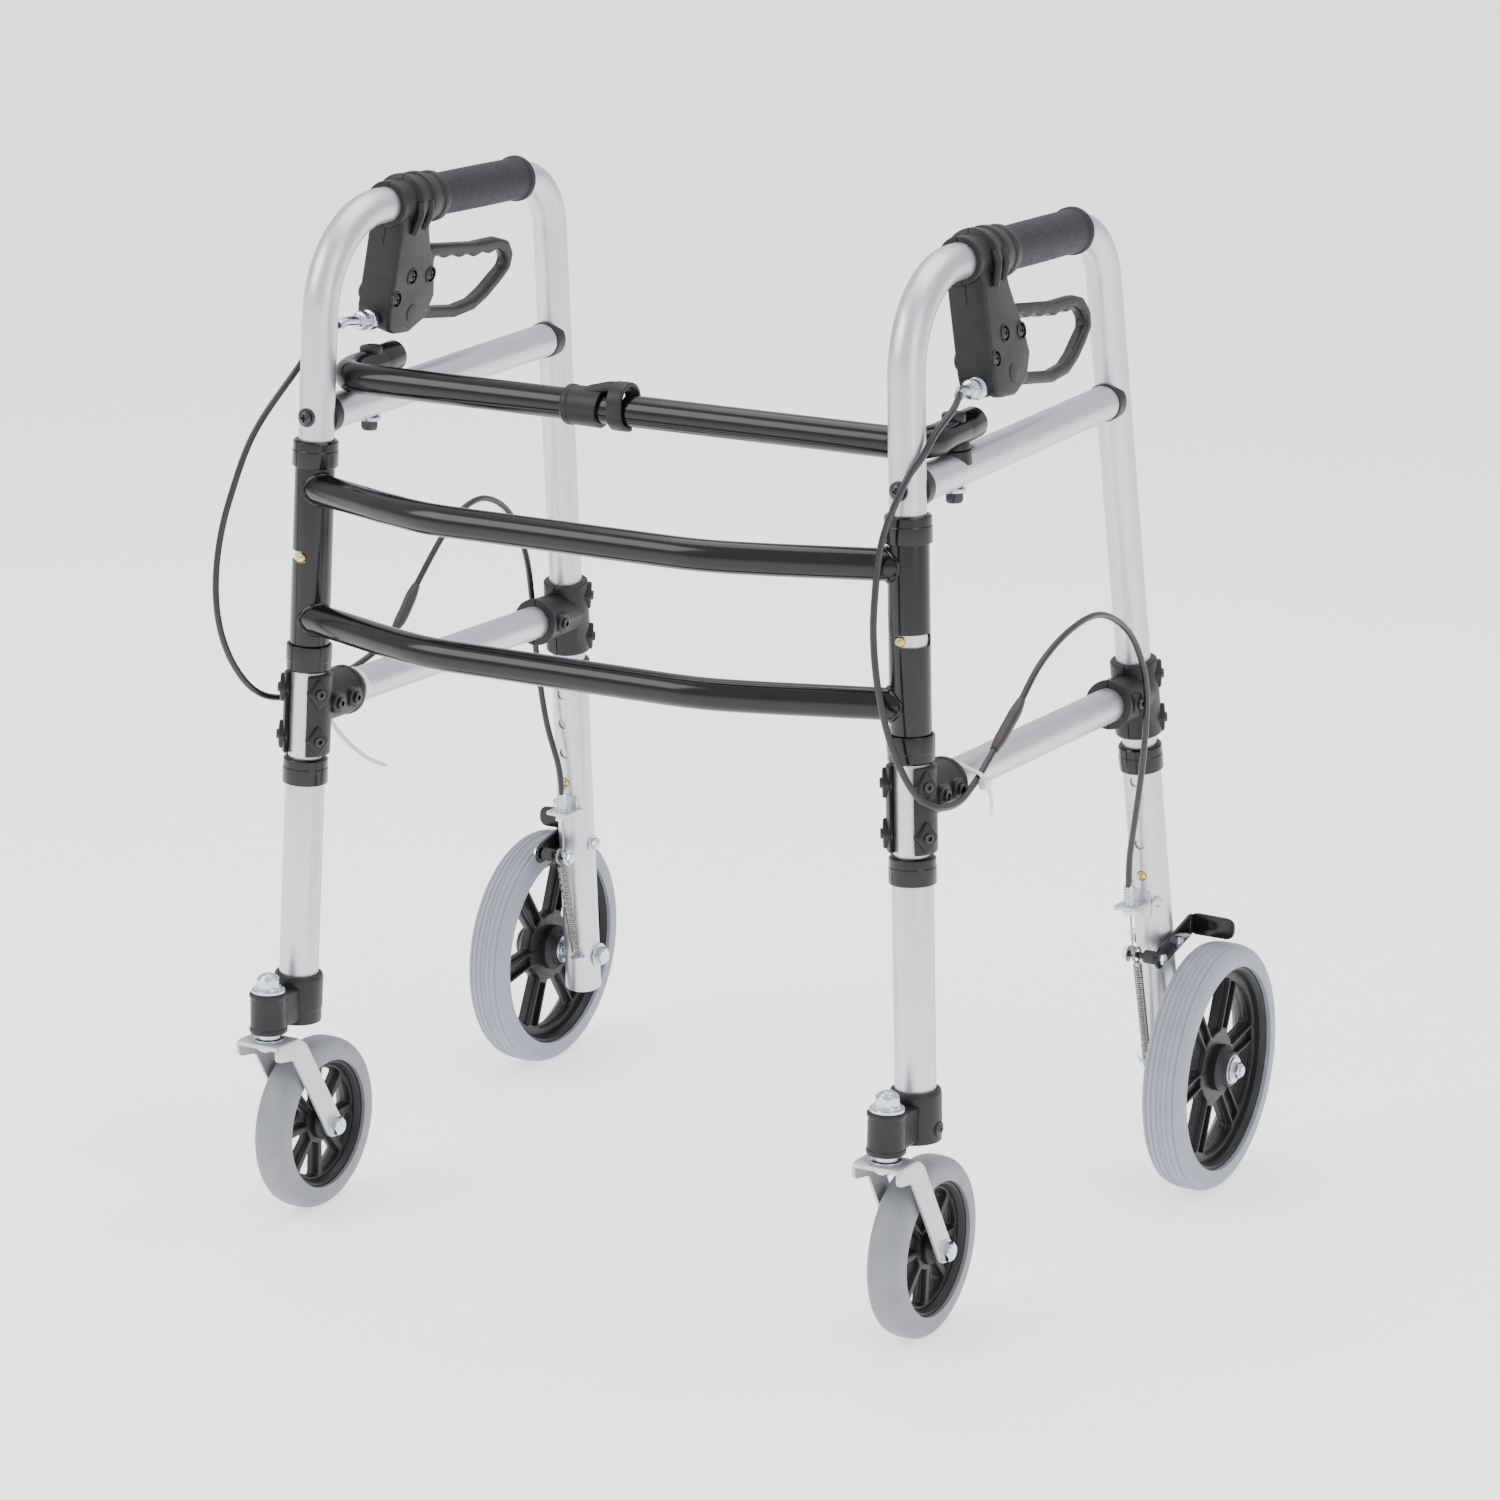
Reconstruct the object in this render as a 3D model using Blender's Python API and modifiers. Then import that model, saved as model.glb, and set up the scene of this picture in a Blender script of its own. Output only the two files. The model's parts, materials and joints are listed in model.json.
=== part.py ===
"""A folding walking frame with hand brakes, two front casters and two braked rear wheels.

Metres, +Z up. The user stands on the +Y side. The origin is at the middle of the foot print.
The right-hand side is modelled and the left-hand side is its mirror twin, except the cables.
"""

import math

import bmesh
import bpy
from mathutils import Matrix, Vector

# Side frames: each leans inwards, and everything on it is placed in its own leaning plane.
FOOT_X = 0.2608
FRONT_LEG_Y = -0.220
LEAN = math.radians(2.5)
REAR_FOOT_Y = 0.423
REAR_RAKE = math.radians(9.54)

# Tubes
UPPER_RADIUS = 0.0127
UPPER_WALL = 0.0015
LOWER_RADIUS = 0.0143
LOWER_WALL = 0.0011
BAR_RADIUS = 0.0111
TOP_Z = 0.738
FRONT_BEND = 0.070
REAR_BEND = 0.050
UPPER_TUBE_END_Z = 0.200
LOWER_TUBE_TOP_Z = 0.345
UPPER_RAIL_Z = 0.5956  # where its axis meets the front leg's; it climbs to the rear
RAIL_SLOPE = 0.044
LOWER_RAIL_Z = 0.387
GAP = 0.0003

# Leg adjustment: spring buttons in punched holes
BUTTON_Z = 0.248
HOLE_PITCH = 0.025
HOLE_COUNT = 4
BUTTON_RADIUS = 0.0036
HOLE_RADIUS = 0.0040

# Front frame
SLEEVE_RADIUS = 0.0143
SLEEVE_LOW_Z = 0.414
SLEEVE_HIGH_Z = 0.578
SLEEVE_COLLAR_RADIUS = 0.0165
SLEEVE_COLLAR_HEIGHT = 0.0185
SLEEVE_BUTTON_Z = 0.496
SLOT_HALF_HEIGHT = 0.0043
BAR_HEIGHTS = {"upper_front_bar": 0.545, "lower_front_bar": 0.4505}
BAR_BOW = 0.0479
BAR_FLAT_X = 0.112

# Handle: the lever unit hangs turned a little outwards from the tube
HANDLE_TILT = math.radians(7)
GRIP_FRONT_Y = 0.139
GRIP_REAR_Y = 0.256
GRIP_RADIUS = 0.0155
HOUSING_WIDTH = 0.028
LEVER_PIVOT = (0.092, -0.066)

# Cross bar halves, latched together in the middle
CROSSBAR_Z = 0.6245
CROSSBAR_TILT = math.radians(4)
CROSSBAR_PIVOT_Y = 0.068
CROSSBAR_REACH = 0.0435  # from the pivot forward to the long arm
CROSSBAR_TAIL = 0.0295  # from the pivot back to the open end
CROSSBAR_BEND = 0.030
LATCH_HALF_GAP = 0.005

# Wheels
CASTER_X = 0.252
CASTER_Y = -0.260
CASTER_TRAIL = 0.058
CASTER_RADIUS = 0.064
CASTER_RIM_RADIUS = 0.048
CASTER_WIDTH = 0.026
REAR_WHEEL_X = 0.2936
REAR_WHEEL_Y = 0.189
REAR_WHEEL_RADIUS = 0.094
REAR_RIM_RADIUS = 0.078
REAR_WHEEL_WIDTH = 0.032
BRAKE_PIVOT_Y = 0.171
BRAKE_PIVOT_Z = 0.192

TUBE_SIDES = 16
MIRROR = Matrix.Scale(-1, 4, (1, 0, 0))

FINISHES = {
    "aluminium": ((0.58, 0.58, 0.62), 0.38, 0.9),
    "gloss_black": ((0.012, 0.012, 0.014), 0.12, 0.0),
    "black_plastic": ((0.025, 0.026, 0.029), 0.5, 0.0),
    "grip_rubber": ((0.033, 0.036, 0.043), 0.75, 0.0),
    "rear_tyre": ((0.30, 0.32, 0.38), 0.7, 0.0),
    "front_tyre": ((0.20, 0.21, 0.23), 0.6, 0.0),
    "painted_fork": ((0.45, 0.45, 0.47), 0.4, 0.5),
    "cable_black": ((0.015, 0.015, 0.017), 0.35, 0.0),
    "brass": ((0.55, 0.40, 0.12), 0.3, 1.0),
}


def clear_scene():
    for old in list(bpy.data.objects):
        bpy.data.objects.remove(old, do_unlink=True)


def new_collection(name):
    collection = bpy.data.collections.new(name)
    bpy.context.scene.collection.children.link(collection)
    return collection


def finish_material(name):
    found = bpy.data.materials.get(name)
    if found:
        return found
    colour, roughness, metallic = FINISHES[name]
    made = bpy.data.materials.new(name)
    made.use_nodes = True
    shader = made.node_tree.nodes["Principled BSDF"]
    shader.inputs["Base Color"].default_value = (*colour, 1)
    shader.inputs["Roughness"].default_value = roughness
    shader.inputs["Metallic"].default_value = metallic
    return made


def empty(name, location, rotation=(0, 0, 0), parent=None):
    made = bpy.data.objects.new(name, None)
    made.location = location
    made.rotation_euler = rotation
    made.parent = parent
    PARTS.objects.link(made)
    return made


def place(name, mesh, parent, finish, sharp=40):
    """A mesh as a named piece of the assembly, or as a cutter when it has no finish."""
    made = bpy.data.objects.new(name, mesh)
    made.parent = parent
    if finish:
        PARTS.objects.link(made)
        mesh.materials.clear()
        mesh.materials.append(finish_material(finish))
    else:
        CUTTERS.objects.link(made)
        made.hide_render = True
        made.display_type = "WIRE"
    mesh.shade_smooth()
    mesh.set_sharp_from_angle(angle=math.radians(sharp))
    return made


def evaluated_mesh(obj):
    bpy.context.view_layer.update()
    graph = bpy.context.evaluated_depsgraph_get()
    return bpy.data.meshes.new_from_object(obj.evaluated_get(graph))


def mesh_from(build):
    """The mesh that a function makes in a bmesh."""
    shape = bmesh.new()
    build(shape)
    mesh = bpy.data.meshes.new("shape")
    shape.to_mesh(mesh)
    shape.free()
    return mesh


def axis_matrix(start, end):
    """Moves the Z axis on to the line from start to end, with its origin at start."""
    direction = Vector(end) - Vector(start)
    turn = direction.to_track_quat("Z", "Y").to_matrix().to_4x4()
    return Matrix.Translation(start) @ turn


def cylinder(name, start, end, radius, parent, finish=None, sides=TUBE_SIDES):
    length = (Vector(end) - Vector(start)).length
    middle = axis_matrix(start, end) @ Matrix.Translation((0, 0, length / 2))

    def build(shape):
        bmesh.ops.create_cone(
            shape, cap_ends=True, segments=sides, radius1=radius, radius2=radius,
            depth=length, matrix=middle,
        )

    return place(name, mesh_from(build), parent, finish)


def box(name, low, high, parent, finish=None):
    size = Vector(high) - Vector(low)
    centre = (Vector(high) + Vector(low)) / 2

    def build(shape):
        fit = Matrix.Translation(centre) @ Matrix.Diagonal((*size, 1))
        bmesh.ops.create_cube(shape, size=1, matrix=fit)

    return place(name, mesh_from(build), parent, finish)


def turned(name, profile, start, end, parent, finish=None, steps=TUBE_SIDES, closed=True):
    """A profile of (radius, height) points, turned about the line from start to end.

    The points run down the outer side, then up the inner side when the profile is closed.
    """
    outline = bpy.data.meshes.new("profile")
    count = len(profile)
    edges = [(i, i + 1) for i in range(count - 1)]
    if closed:
        edges.append((count - 1, 0))
    outline.from_pydata([(radius, 0, height) for radius, height in profile], edges, [])
    guide = bpy.data.objects.new("guide", outline)
    CUTTERS.objects.link(guide)
    screw = guide.modifiers.new("turn", "SCREW")
    screw.steps = steps
    screw.render_steps = steps
    screw.use_merge_vertices = True
    screw.merge_threshold = 0.00001
    mesh = evaluated_mesh(guide)
    bpy.data.objects.remove(guide)
    mesh.transform(axis_matrix(start, end))
    return place(name, mesh, parent, finish)


def pipe(name, start, end, outer, inner, parent, finish=None):
    length = (Vector(end) - Vector(start)).length
    profile = [(outer, length), (outer, 0), (inner, 0), (inner, length)]
    return turned(name, profile, start, end, parent, finish)


def swept(name, points, radius, parent, finish=None, sides=TUBE_SIDES, wall=0.0):
    """A tube along points: solid with closed ends, or open right through with a wall."""
    curve = bpy.data.curves.new("path", "CURVE")
    curve.dimensions = "3D"
    curve.bevel_depth = radius
    curve.bevel_resolution = sides // 2 - 2
    curve.use_fill_caps = not wall
    spline = curve.splines.new("POLY")
    spline.points.add(len(points) - 1)
    for point, position in zip(spline.points, points):
        point.co = (*position, 1)
    guide = bpy.data.objects.new("guide", curve)
    CUTTERS.objects.link(guide)
    mesh = evaluated_mesh(guide)
    bpy.data.objects.remove(guide)
    shape = bmesh.new()
    shape.from_mesh(mesh)
    bmesh.ops.remove_doubles(shape, verts=shape.verts, dist=0.00001)
    bmesh.ops.recalc_face_normals(shape, faces=shape.faces)
    shape.to_mesh(mesh)
    shape.free()
    made = place(name, mesh, parent, finish)
    if wall:
        shell = made.modifiers.new("wall", "SOLIDIFY")
        shell.thickness = wall
        shell.offset = -1
    return made


def plate(name, outlines, low_x, high_x, parent, finish=None, bevel=0.0):
    """Flat outlines of (y, z) points, extruded across X; an outline inside another is a hole."""
    curve = bpy.data.curves.new("outline", "CURVE")
    curve.dimensions = "2D"
    curve.fill_mode = "BOTH"
    curve.extrude = (high_x - low_x) / 2 - bevel
    curve.bevel_depth = bevel
    curve.offset = -bevel
    curve.bevel_resolution = 0
    for outline in outlines:
        spline = curve.splines.new("POLY")
        spline.points.add(len(outline) - 1)
        spline.use_cyclic_u = True
        for point, (y, z) in zip(spline.points, outline):
            point.co = (y, z, 0, 1)
    guide = bpy.data.objects.new("guide", curve)
    CUTTERS.objects.link(guide)
    mesh = evaluated_mesh(guide)
    bpy.data.objects.remove(guide)
    stand_up = Matrix(((0, 0, 1, 0), (1, 0, 0, 0), (0, 1, 0, 0), (0, 0, 0, 1)))
    mesh.transform(Matrix.Translation(((high_x + low_x) / 2, 0, 0)) @ stand_up)
    shape = bmesh.new()
    shape.from_mesh(mesh)
    bmesh.ops.remove_doubles(shape, verts=shape.verts, dist=0.00001)
    bmesh.ops.recalc_face_normals(shape, faces=shape.faces)
    shape.to_mesh(mesh)
    shape.free()
    return place(name, mesh, parent, finish)


def boolean(target, other, operation):
    step = target.modifiers.new(other.name, "BOOLEAN")
    step.operation = operation
    step.object = other
    return target


def cut(target, *cutters):
    for cutter in cutters:
        boolean(target, cutter, "DIFFERENCE")


def join(target, *additions):
    for addition in additions:
        boolean(target, addition, "UNION")


def arc(centre, radius, start_degrees, end_degrees, count):
    """Points (a, b) on an arc in a plane, both ends included."""
    points = []
    for i in range(count + 1):
        angle = math.radians(start_degrees + (end_degrees - start_degrees) * i / count)
        points.append(
            (centre[0] + radius * math.cos(angle), centre[1] + radius * math.sin(angle))
        )
    return points


def smooth_route(points, spacing):
    """A smooth curve through the points, with a point about every spacing."""
    points = [Vector(point) for point in points]
    ends = [2 * points[0] - points[1]] + points + [2 * points[-1] - points[-2]]
    route = []
    for i in range(1, len(ends) - 2):
        a, b, c, d = ends[i - 1 : i + 3]
        count = max(1, round((c - b).length / spacing))
        for k in range(count):
            t = k / count
            route.append(
                0.5 * (2 * b + (c - a) * t + (2 * a - 5 * b + 4 * c - d) * t**2
                       + (3 * b - a - 3 * c + d) * t**3)
            )
    return route + [points[-1]]


def rear_leg_y(z):
    return REAR_FOOT_Y - z * math.tan(REAR_RAKE)


def rear_leg(z):
    """The point on the rear leg's axis at a height, in the side frame's plane."""
    return Vector((0, rear_leg_y(z), z))


def side_tube(side):
    top_corner = rear_leg_y(TOP_Z)
    tangent = REAR_BEND * math.tan((math.pi / 2 - REAR_RAKE) / 2)
    rear_centre = (top_corner - tangent, TOP_Z - REAR_BEND)
    outline = [(0, UPPER_TUBE_END_Z), (0, 0.45)]
    outline += arc((FRONT_BEND, TOP_Z - FRONT_BEND), FRONT_BEND, 180, 90, 6)
    outline += arc(rear_centre, REAR_BEND, 90, math.degrees(REAR_RAKE), 6)
    outline += [(rear_leg_y(UPPER_TUBE_END_Z), UPPER_TUBE_END_Z)]
    points = [(0, y, z) for y, z in outline]
    tube = swept("right_side_tube", points, UPPER_RADIUS, side, "aluminium", wall=UPPER_WALL)
    front = ((0, 0.004, BUTTON_Z), (0, 0.02, BUTTON_Z))
    sleeve = ((0, -0.02, SLEEVE_BUTTON_Z), (0, -0.004, SLEEVE_BUTTON_Z))
    cut(tube, cylinder("right_front_pocket", *front, HOLE_RADIUS, side, sides=10))
    cut(tube, cylinder("right_sleeve_pocket", *sleeve, HOLE_RADIUS, side, sides=10))
    rear = rear_button_line(-0.02, -0.004)
    cut(tube, cylinder("right_rear_pocket", *rear, HOLE_RADIUS, side, sides=10))


def rear_button_line(outer, inner, z=BUTTON_Z):
    """A line square to the rear leg at a height, from outer to inner along its forward normal."""
    normal = Vector((0, math.cos(REAR_RAKE), math.sin(REAR_RAKE)))
    return rear_leg(z) + normal * outer, rear_leg(z) + normal * inner


def rail_point(y):
    return (0, y, UPPER_RAIL_Z + RAIL_SLOPE * y)


def rails(side):
    rear_y = rear_leg_y(UPPER_RAIL_Z) / (1 + RAIL_SLOPE * math.tan(REAR_RAKE))
    rail = cylinder(
        "right_upper_rail", rail_point(0.003), rail_point(rear_y - 0.003), UPPER_RADIUS, side,
        "aluminium",
    )
    cope = UPPER_RADIUS + GAP
    cut(
        rail,
        cylinder("right_rail_front_cope", (0, 0, 0.57), (0, 0, 0.63), cope, side),
        cylinder("right_rail_rear_cope", rear_leg(0.57), rear_leg(0.63), cope, side),
    )
    radius = 0.008
    saddle_top = CROSSBAR_Z - BAR_RADIUS - GAP - radius * math.tan(CROSSBAR_TILT)
    join(rail, cylinder(
        "right_saddle", rail_point(CROSSBAR_PIVOT_Y), (0, CROSSBAR_PIVOT_Y, saddle_top),
        radius, side, sides=12,
    ))
    cylinder(
        "right_lower_rail", (0, UPPER_RADIUS + 0.0045, LOWER_RAIL_Z),
        (0, rear_leg_y(LOWER_RAIL_Z) - UPPER_RADIUS - 0.0045, LOWER_RAIL_Z),
        UPPER_RADIUS, side, "aluminium",
    )


def clamps(side):
    bore = UPPER_RADIUS + GAP
    outer = 0.0170
    socket = 0.048
    front = cylinder(
        "right_front_clamp", (0, 0, 0.352), (0, 0, 0.408), outer, side, "black_plastic"
    )
    join(front, cylinder(
        "right_front_socket", (0, 0, LOWER_RAIL_Z), (0, socket, LOWER_RAIL_Z), outer, side
    ))
    cut(
        front,
        cylinder("right_front_bore", (0, 0, 0.34), (0, 0, 0.42), bore, side),
        cylinder(
            "right_front_rail_bore", (0, 0.005, LOWER_RAIL_Z), (0, 0.06, LOWER_RAIL_Z), bore, side
        ),
        box("right_front_split", (-0.0095, -0.02, 0.34), (0.0095, 0, 0.42), side),
    )
    rear = cylinder(
        "right_rear_clamp", rear_leg(0.356), rear_leg(0.413), outer, side, "black_plastic"
    )
    rear_y = rear_leg_y(LOWER_RAIL_Z)
    join(rear, cylinder(
        "right_rear_socket", (0, rear_y - socket, LOWER_RAIL_Z), (0, rear_y - 0.003, LOWER_RAIL_Z),
        outer - 0.0002, side,
    ))
    cut(
        rear,
        cylinder("right_rear_bore", rear_leg(0.34), rear_leg(0.43), bore, side),
        cylinder(
            "right_rear_rail_bore", (0, rear_y - 0.06, LOWER_RAIL_Z),
            (0, rear_y - 0.005, LOWER_RAIL_Z), bore, side,
        ),
    )


def leg_collar(name, base, top, lower_top, parent):
    """A collar that caps a lower tube and guides the upper tube in it."""
    height = (top - base).length
    step = (lower_top - base).length
    bore = UPPER_RADIUS + GAP
    seat = LOWER_RADIUS + GAP
    outer = SLEEVE_COLLAR_RADIUS
    profile = [
        (outer, height), (outer, 0), (seat, 0), (seat, step + GAP), (bore, step + GAP),
        (bore, height),
    ]
    return turned(name, profile, base, top, parent, "gloss_black")


def adjustment_holes(leg, name, line, parent):
    """The button's own hole and those above it, one pitch apart along the leg."""
    for i in range(HOLE_COUNT + 1):
        start, end = line(BUTTON_Z + i * HOLE_PITCH)
        cut(leg, cylinder(f"{name}_hole_{i}", start, end, HOLE_RADIUS, parent, sides=8))


def front_lower_leg(side):
    bottom = Vector((0, 0, 0.152))
    top = Vector((0, 0, LOWER_TUBE_TOP_Z))
    inner = LOWER_RADIUS - LOWER_WALL
    tube = pipe("right_front_lower_tube", bottom, top, LOWER_RADIUS, inner, side, "aluminium")

    def hole(z):
        return (0, 0.005, z), (0, 0.022, z)

    adjustment_holes(tube, "right_front", hole, side)
    base = Vector((0, 0, 0.3282))
    leg_collar("right_front_leg_collar", base, Vector((0, 0, 0.3475)), top, side)


def rear_lower_leg(side):
    bottom = rear_leg(0.066)
    top = rear_leg(LOWER_TUBE_TOP_Z)
    inner = LOWER_RADIUS - LOWER_WALL
    tube = pipe("right_rear_lower_tube", bottom, top, LOWER_RADIUS, inner, side, "aluminium")

    def hole(z):
        return rear_button_line(-0.022, -0.005, z)

    adjustment_holes(tube, "right_rear", hole, side)
    leg_collar("right_rear_leg_collar", rear_leg(0.3285), rear_leg(0.3478), top, side)
    stop_y = rear_leg_y(0.226) - LOWER_RADIUS
    bracket = box(
        "right_cable_bracket", (-0.014, stop_y - 0.022, 0.222), (0.004, stop_y - 0.002, 0.229),
        side, "aluminium",
    )
    join(bracket, cylinder(
        "right_cable_barrel", (-0.005, stop_y - 0.014, 0.225), (-0.005, stop_y - 0.014, 0.239),
        0.0042, side, sides=12,
    ))


def buttons(side):
    """A brass pin with a domed end, standing out of its hole; it slides into the tube."""
    tip = 0.0165
    root = 0.0065
    dome = 0.002
    length = tip - root
    profile = [
        (0, length), (BUTTON_RADIUS * 0.7, length - dome * 0.4), (BUTTON_RADIUS, length - dome),
        (BUTTON_RADIUS, 0), (0, 0),
    ]
    lines = {
        "right_front_button": (Vector((0, root, BUTTON_Z)), Vector((0, tip, BUTTON_Z))),
        "right_rear_button": rear_button_line(-root, -tip),
        "right_sleeve_button": (
            Vector((0, -root, SLEEVE_BUTTON_Z)), Vector((0, -tip, SLEEVE_BUTTON_Z))
        ),
    }
    for name, (start, end) in lines.items():
        turned(name, profile, start, end, side, "brass", steps=10, closed=False)


def hand_grip(side):
    length = GRIP_REAR_Y - GRIP_FRONT_Y
    bore = UPPER_RADIUS + GAP
    profile = [
        (0.0155, length), (0.0170, length - 0.001), (0.0170, length - 0.0045),
        (GRIP_RADIUS, length - 0.007), (GRIP_RADIUS, 0), (bore, 0), (bore, length),
    ]
    turned(
        "right_hand_grip", profile, (0, GRIP_FRONT_Y, TOP_Z), (0, GRIP_REAR_Y, TOP_Z),
        side, "grip_rubber",
    )


def lever_housing(handle):
    half = HOUSING_WIDTH / 2
    outline = [
        (0.118, -0.004), (0.0835, -0.004), (0.0825, -0.078), (0.0855, -0.0925), (0.112, -0.0955),
        (0.133, -0.087), (0.141, -0.070), (0.135, -0.052), (0.123, -0.030),
    ]
    housing = plate(
        "right_lever_housing", [outline], -half, half, handle, "black_plastic", bevel=0.0015
    )
    join(housing, cylinder(
        "right_housing_clamp", (0, 0.080, 0), (0, 0.137, 0), 0.0190, handle
    ))
    cut(
        housing,
        cylinder("right_housing_bore", (0, 0.05, 0), (0, 0.16, 0), UPPER_RADIUS + GAP, handle),
        box("right_housing_slot", (-0.0063, 0.0865, -0.11), (0.0063, 0.20, -0.025), handle),
    )


def brake_lever(handle):
    pivot_y, pivot_z = LEVER_PIVOT
    pivot = empty("right_lever_pivot", (0, pivot_y, pivot_z), parent=handle)
    outer = [
        (0.088, -0.072), (0.0882, -0.060), (0.092, -0.055), (0.125, -0.041), (0.145, -0.037),
        (0.170, -0.040), (0.205, -0.043), (0.238, -0.043), (0.252, -0.048), (0.2600, -0.058),
        (0.2585, -0.069), (0.247, -0.078), (0.232, -0.088), (0.215, -0.0955), (0.190, -0.0980),
        (0.150, -0.0935), (0.110, -0.084), (0.090, -0.077),
    ]
    inner = [
        (0.149, -0.046), (0.172, -0.0495), (0.205, -0.052), (0.236, -0.052), (0.246, -0.0555),
        (0.2510, -0.061), (0.2495, -0.066), (0.241, -0.071), (0.226, -0.081), (0.212, -0.0870),
        (0.190, -0.0890), (0.151, -0.0845),
    ]
    outlines = [[(y - pivot_y, z - pivot_z) for y, z in loop] for loop in (outer, inner)]
    plate("right_brake_lever", outlines, -0.005, 0.005, pivot, "black_plastic", bevel=0.0012)


RIGHT_CABLE = [
    (0.014, 0.052, 0.655), (0.019, 0.030, 0.646), (0.0175, 0.008, 0.634),
    (0.0150, -0.007, 0.620), (0.008, -0.019, 0.604), (-0.005, -0.027, 0.567),
    (-0.009, -0.032, 0.527), (-0.009, -0.034, 0.494), (-0.005, -0.034, 0.460),
    (0.002, -0.030, 0.426), (0.014, -0.024, 0.397),
    (0.024, -0.012, 0.385), (0.026, 0.018, 0.382), (0.022, 0.052, 0.389), (0.020, 0.078, 0.400),
    (0.020, 0.117, 0.423), (0.020, 0.157, 0.449), (0.020, 0.205, 0.464), (0.020, 0.254, 0.466),
    (0.021, 0.296, 0.448), (0.022, 0.320, 0.420), (0.022, 0.329, 0.389), (0.018, 0.331, 0.344),
    (0.008, 0.340, 0.300), (-0.002, 0.351, 0.265), (-0.005, 0.355, 0.2395),
]
LEFT_CABLE = [
    (-0.014, 0.052, 0.655), (-0.019, 0.030, 0.646), (-0.022, 0.006, 0.626), (-0.041, -0.017, 0.581),
    (-0.050, -0.031, 0.536), (-0.054, -0.038, 0.501), (-0.053, -0.042, 0.468),
    (-0.048, -0.042, 0.440), (-0.040, -0.036, 0.415), (-0.031, -0.022, 0.395),
    (-0.026, 0.004, 0.385), (-0.023, 0.045, 0.384), (-0.020, 0.109, 0.396),
    (-0.020, 0.146, 0.413), (-0.020, 0.170, 0.439), (-0.020, 0.202, 0.469),
    (-0.020, 0.228, 0.486), (-0.020, 0.262, 0.490), (-0.021, 0.300, 0.472), (-0.022, 0.328, 0.435),
    (-0.022, 0.341, 0.396), (-0.020, 0.348, 0.351), (-0.010, 0.350, 0.300),
    (0.002, 0.353, 0.262), (0.005, 0.355, 0.2395),
]
CABLE_RADIUS = 0.0024
CABLE_SPACING = 0.022


def crossbar_half(side):
    """An L of tube over the rail: its short arm is pinned on the saddle, its long arm spans in."""
    bolt = (0, CROSSBAR_PIVOT_Y, CROSSBAR_Z)
    pivot = empty("right_crossbar_pivot", bolt, (CROSSBAR_TILT, LEAN, 0), side)
    bpy.context.view_layer.update()
    reach = LATCH_HALF_GAP - pivot.matrix_world.translation.x
    corner = (-CROSSBAR_BEND, CROSSBAR_BEND - CROSSBAR_REACH)
    bend = arc(corner, CROSSBAR_BEND, 0, -90, 5)
    outline = [(0, CROSSBAR_TAIL)] + bend + [(reach, -CROSSBAR_REACH)]
    points = [(x, y, 0) for x, y in outline]
    swept("right_crossbar_half", points, BAR_RADIUS, pivot, "gloss_black", wall=0.0014)


def latch_clip():
    """The snap clip on the left half: a sleeve, and a hook open at the back below."""
    y = FRONT_LEG_Y + CROSSBAR_PIVOT_Y - CROSSBAR_REACH * math.cos(CROSSBAR_TILT)
    z = CROSSBAR_Z * math.cos(LEAN) - CROSSBAR_REACH * math.sin(CROSSBAR_TILT)
    clip = pipe(
        "latch_clip", (-0.042, y, z), (0.0085, y, z), 0.0148, BAR_RADIUS + GAP, None,
        "black_plastic",
    )
    cut(
        clip,
        box("latch_mouth", (-0.0055, y + 0.002, z - 0.03), (0.04, y + 0.03, z + 0.004), None),
        box("latch_neck", (-0.0125, y - 0.03, z - 0.03), (-0.004, y + 0.03, z + 0.004), None),
    )


def caster_housing(swivel):
    """The moulded block that holds the lower tube and, in front of it, the kingpin."""
    leg_x = FOOT_X - 0.165 * math.tan(LEAN) - CASTER_X
    leg_y = FRONT_LEG_Y - CASTER_Y
    slope = math.tan(LEAN)

    def leg_point(z):
        return (leg_x + (0.165 - z) * slope, leg_y, z)

    housing = cylinder(
        "right_caster_housing", leg_point(0.1475), leg_point(0.1838), 0.0175, swivel,
        "black_plastic",
    )
    join(
        housing,
        cylinder("right_kingpin_boss", (0, 0, 0.1485), (0, 0, 0.1785), 0.0135, swivel),
        box("right_boss_web", (-0.007, 0.004, 0.1505), (0.008, leg_y, 0.1755), swivel),
    )
    cut(housing, cylinder(
        "right_housing_socket", leg_point(0.1515), leg_point(0.20), LOWER_RADIUS + GAP, swivel
    ))
    cut(housing, cylinder(
        "right_kingpin_bore", (0, 0, 0.14), (0, 0, 0.19), 0.0054, swivel, sides=12
    ))


def caster_fork(swivel):
    """Kingpin, crown and two swept-back cheeks, bent from one strip and welded."""
    outer = 0.0185
    cheek = 0.003
    outline = [
        (-0.015, 0.143), (0.013, 0.143), (0.023, 0.136), (0.066, 0.069), (0.066, 0.060),
        (0.058, 0.055), (0.050, 0.058), (0.006, 0.128), (-0.015, 0.131),
    ]
    fork = plate("right_caster_fork", [outline], -outer, outer, swivel, "painted_fork")
    inside = [
        (-0.02, 0.139), (0.014, 0.139), (0.014, 0.160), (0.09, 0.160), (0.09, 0.02), (-0.02, 0.02),
    ]
    cut(fork, plate("right_fork_gap", [inside], cheek - outer, outer - cheek, swivel))
    join(fork, turned(
        "right_kingpin",
        [(0.0, 0.194), (0.0075, 0.1935), (0.0095, 0.190), (0.0095, 0.1815), (0.0125, 0.1810),
         (0.0125, 0.1790), (0.0050, 0.1790), (0.0050, 0.1480), (0.0110, 0.1478),
         (0.0110, 0.1415), (0, 0.1415)],
        (0, 0, 0), (0, 0, 1), swivel, steps=12, closed=False,
    ))


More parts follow.
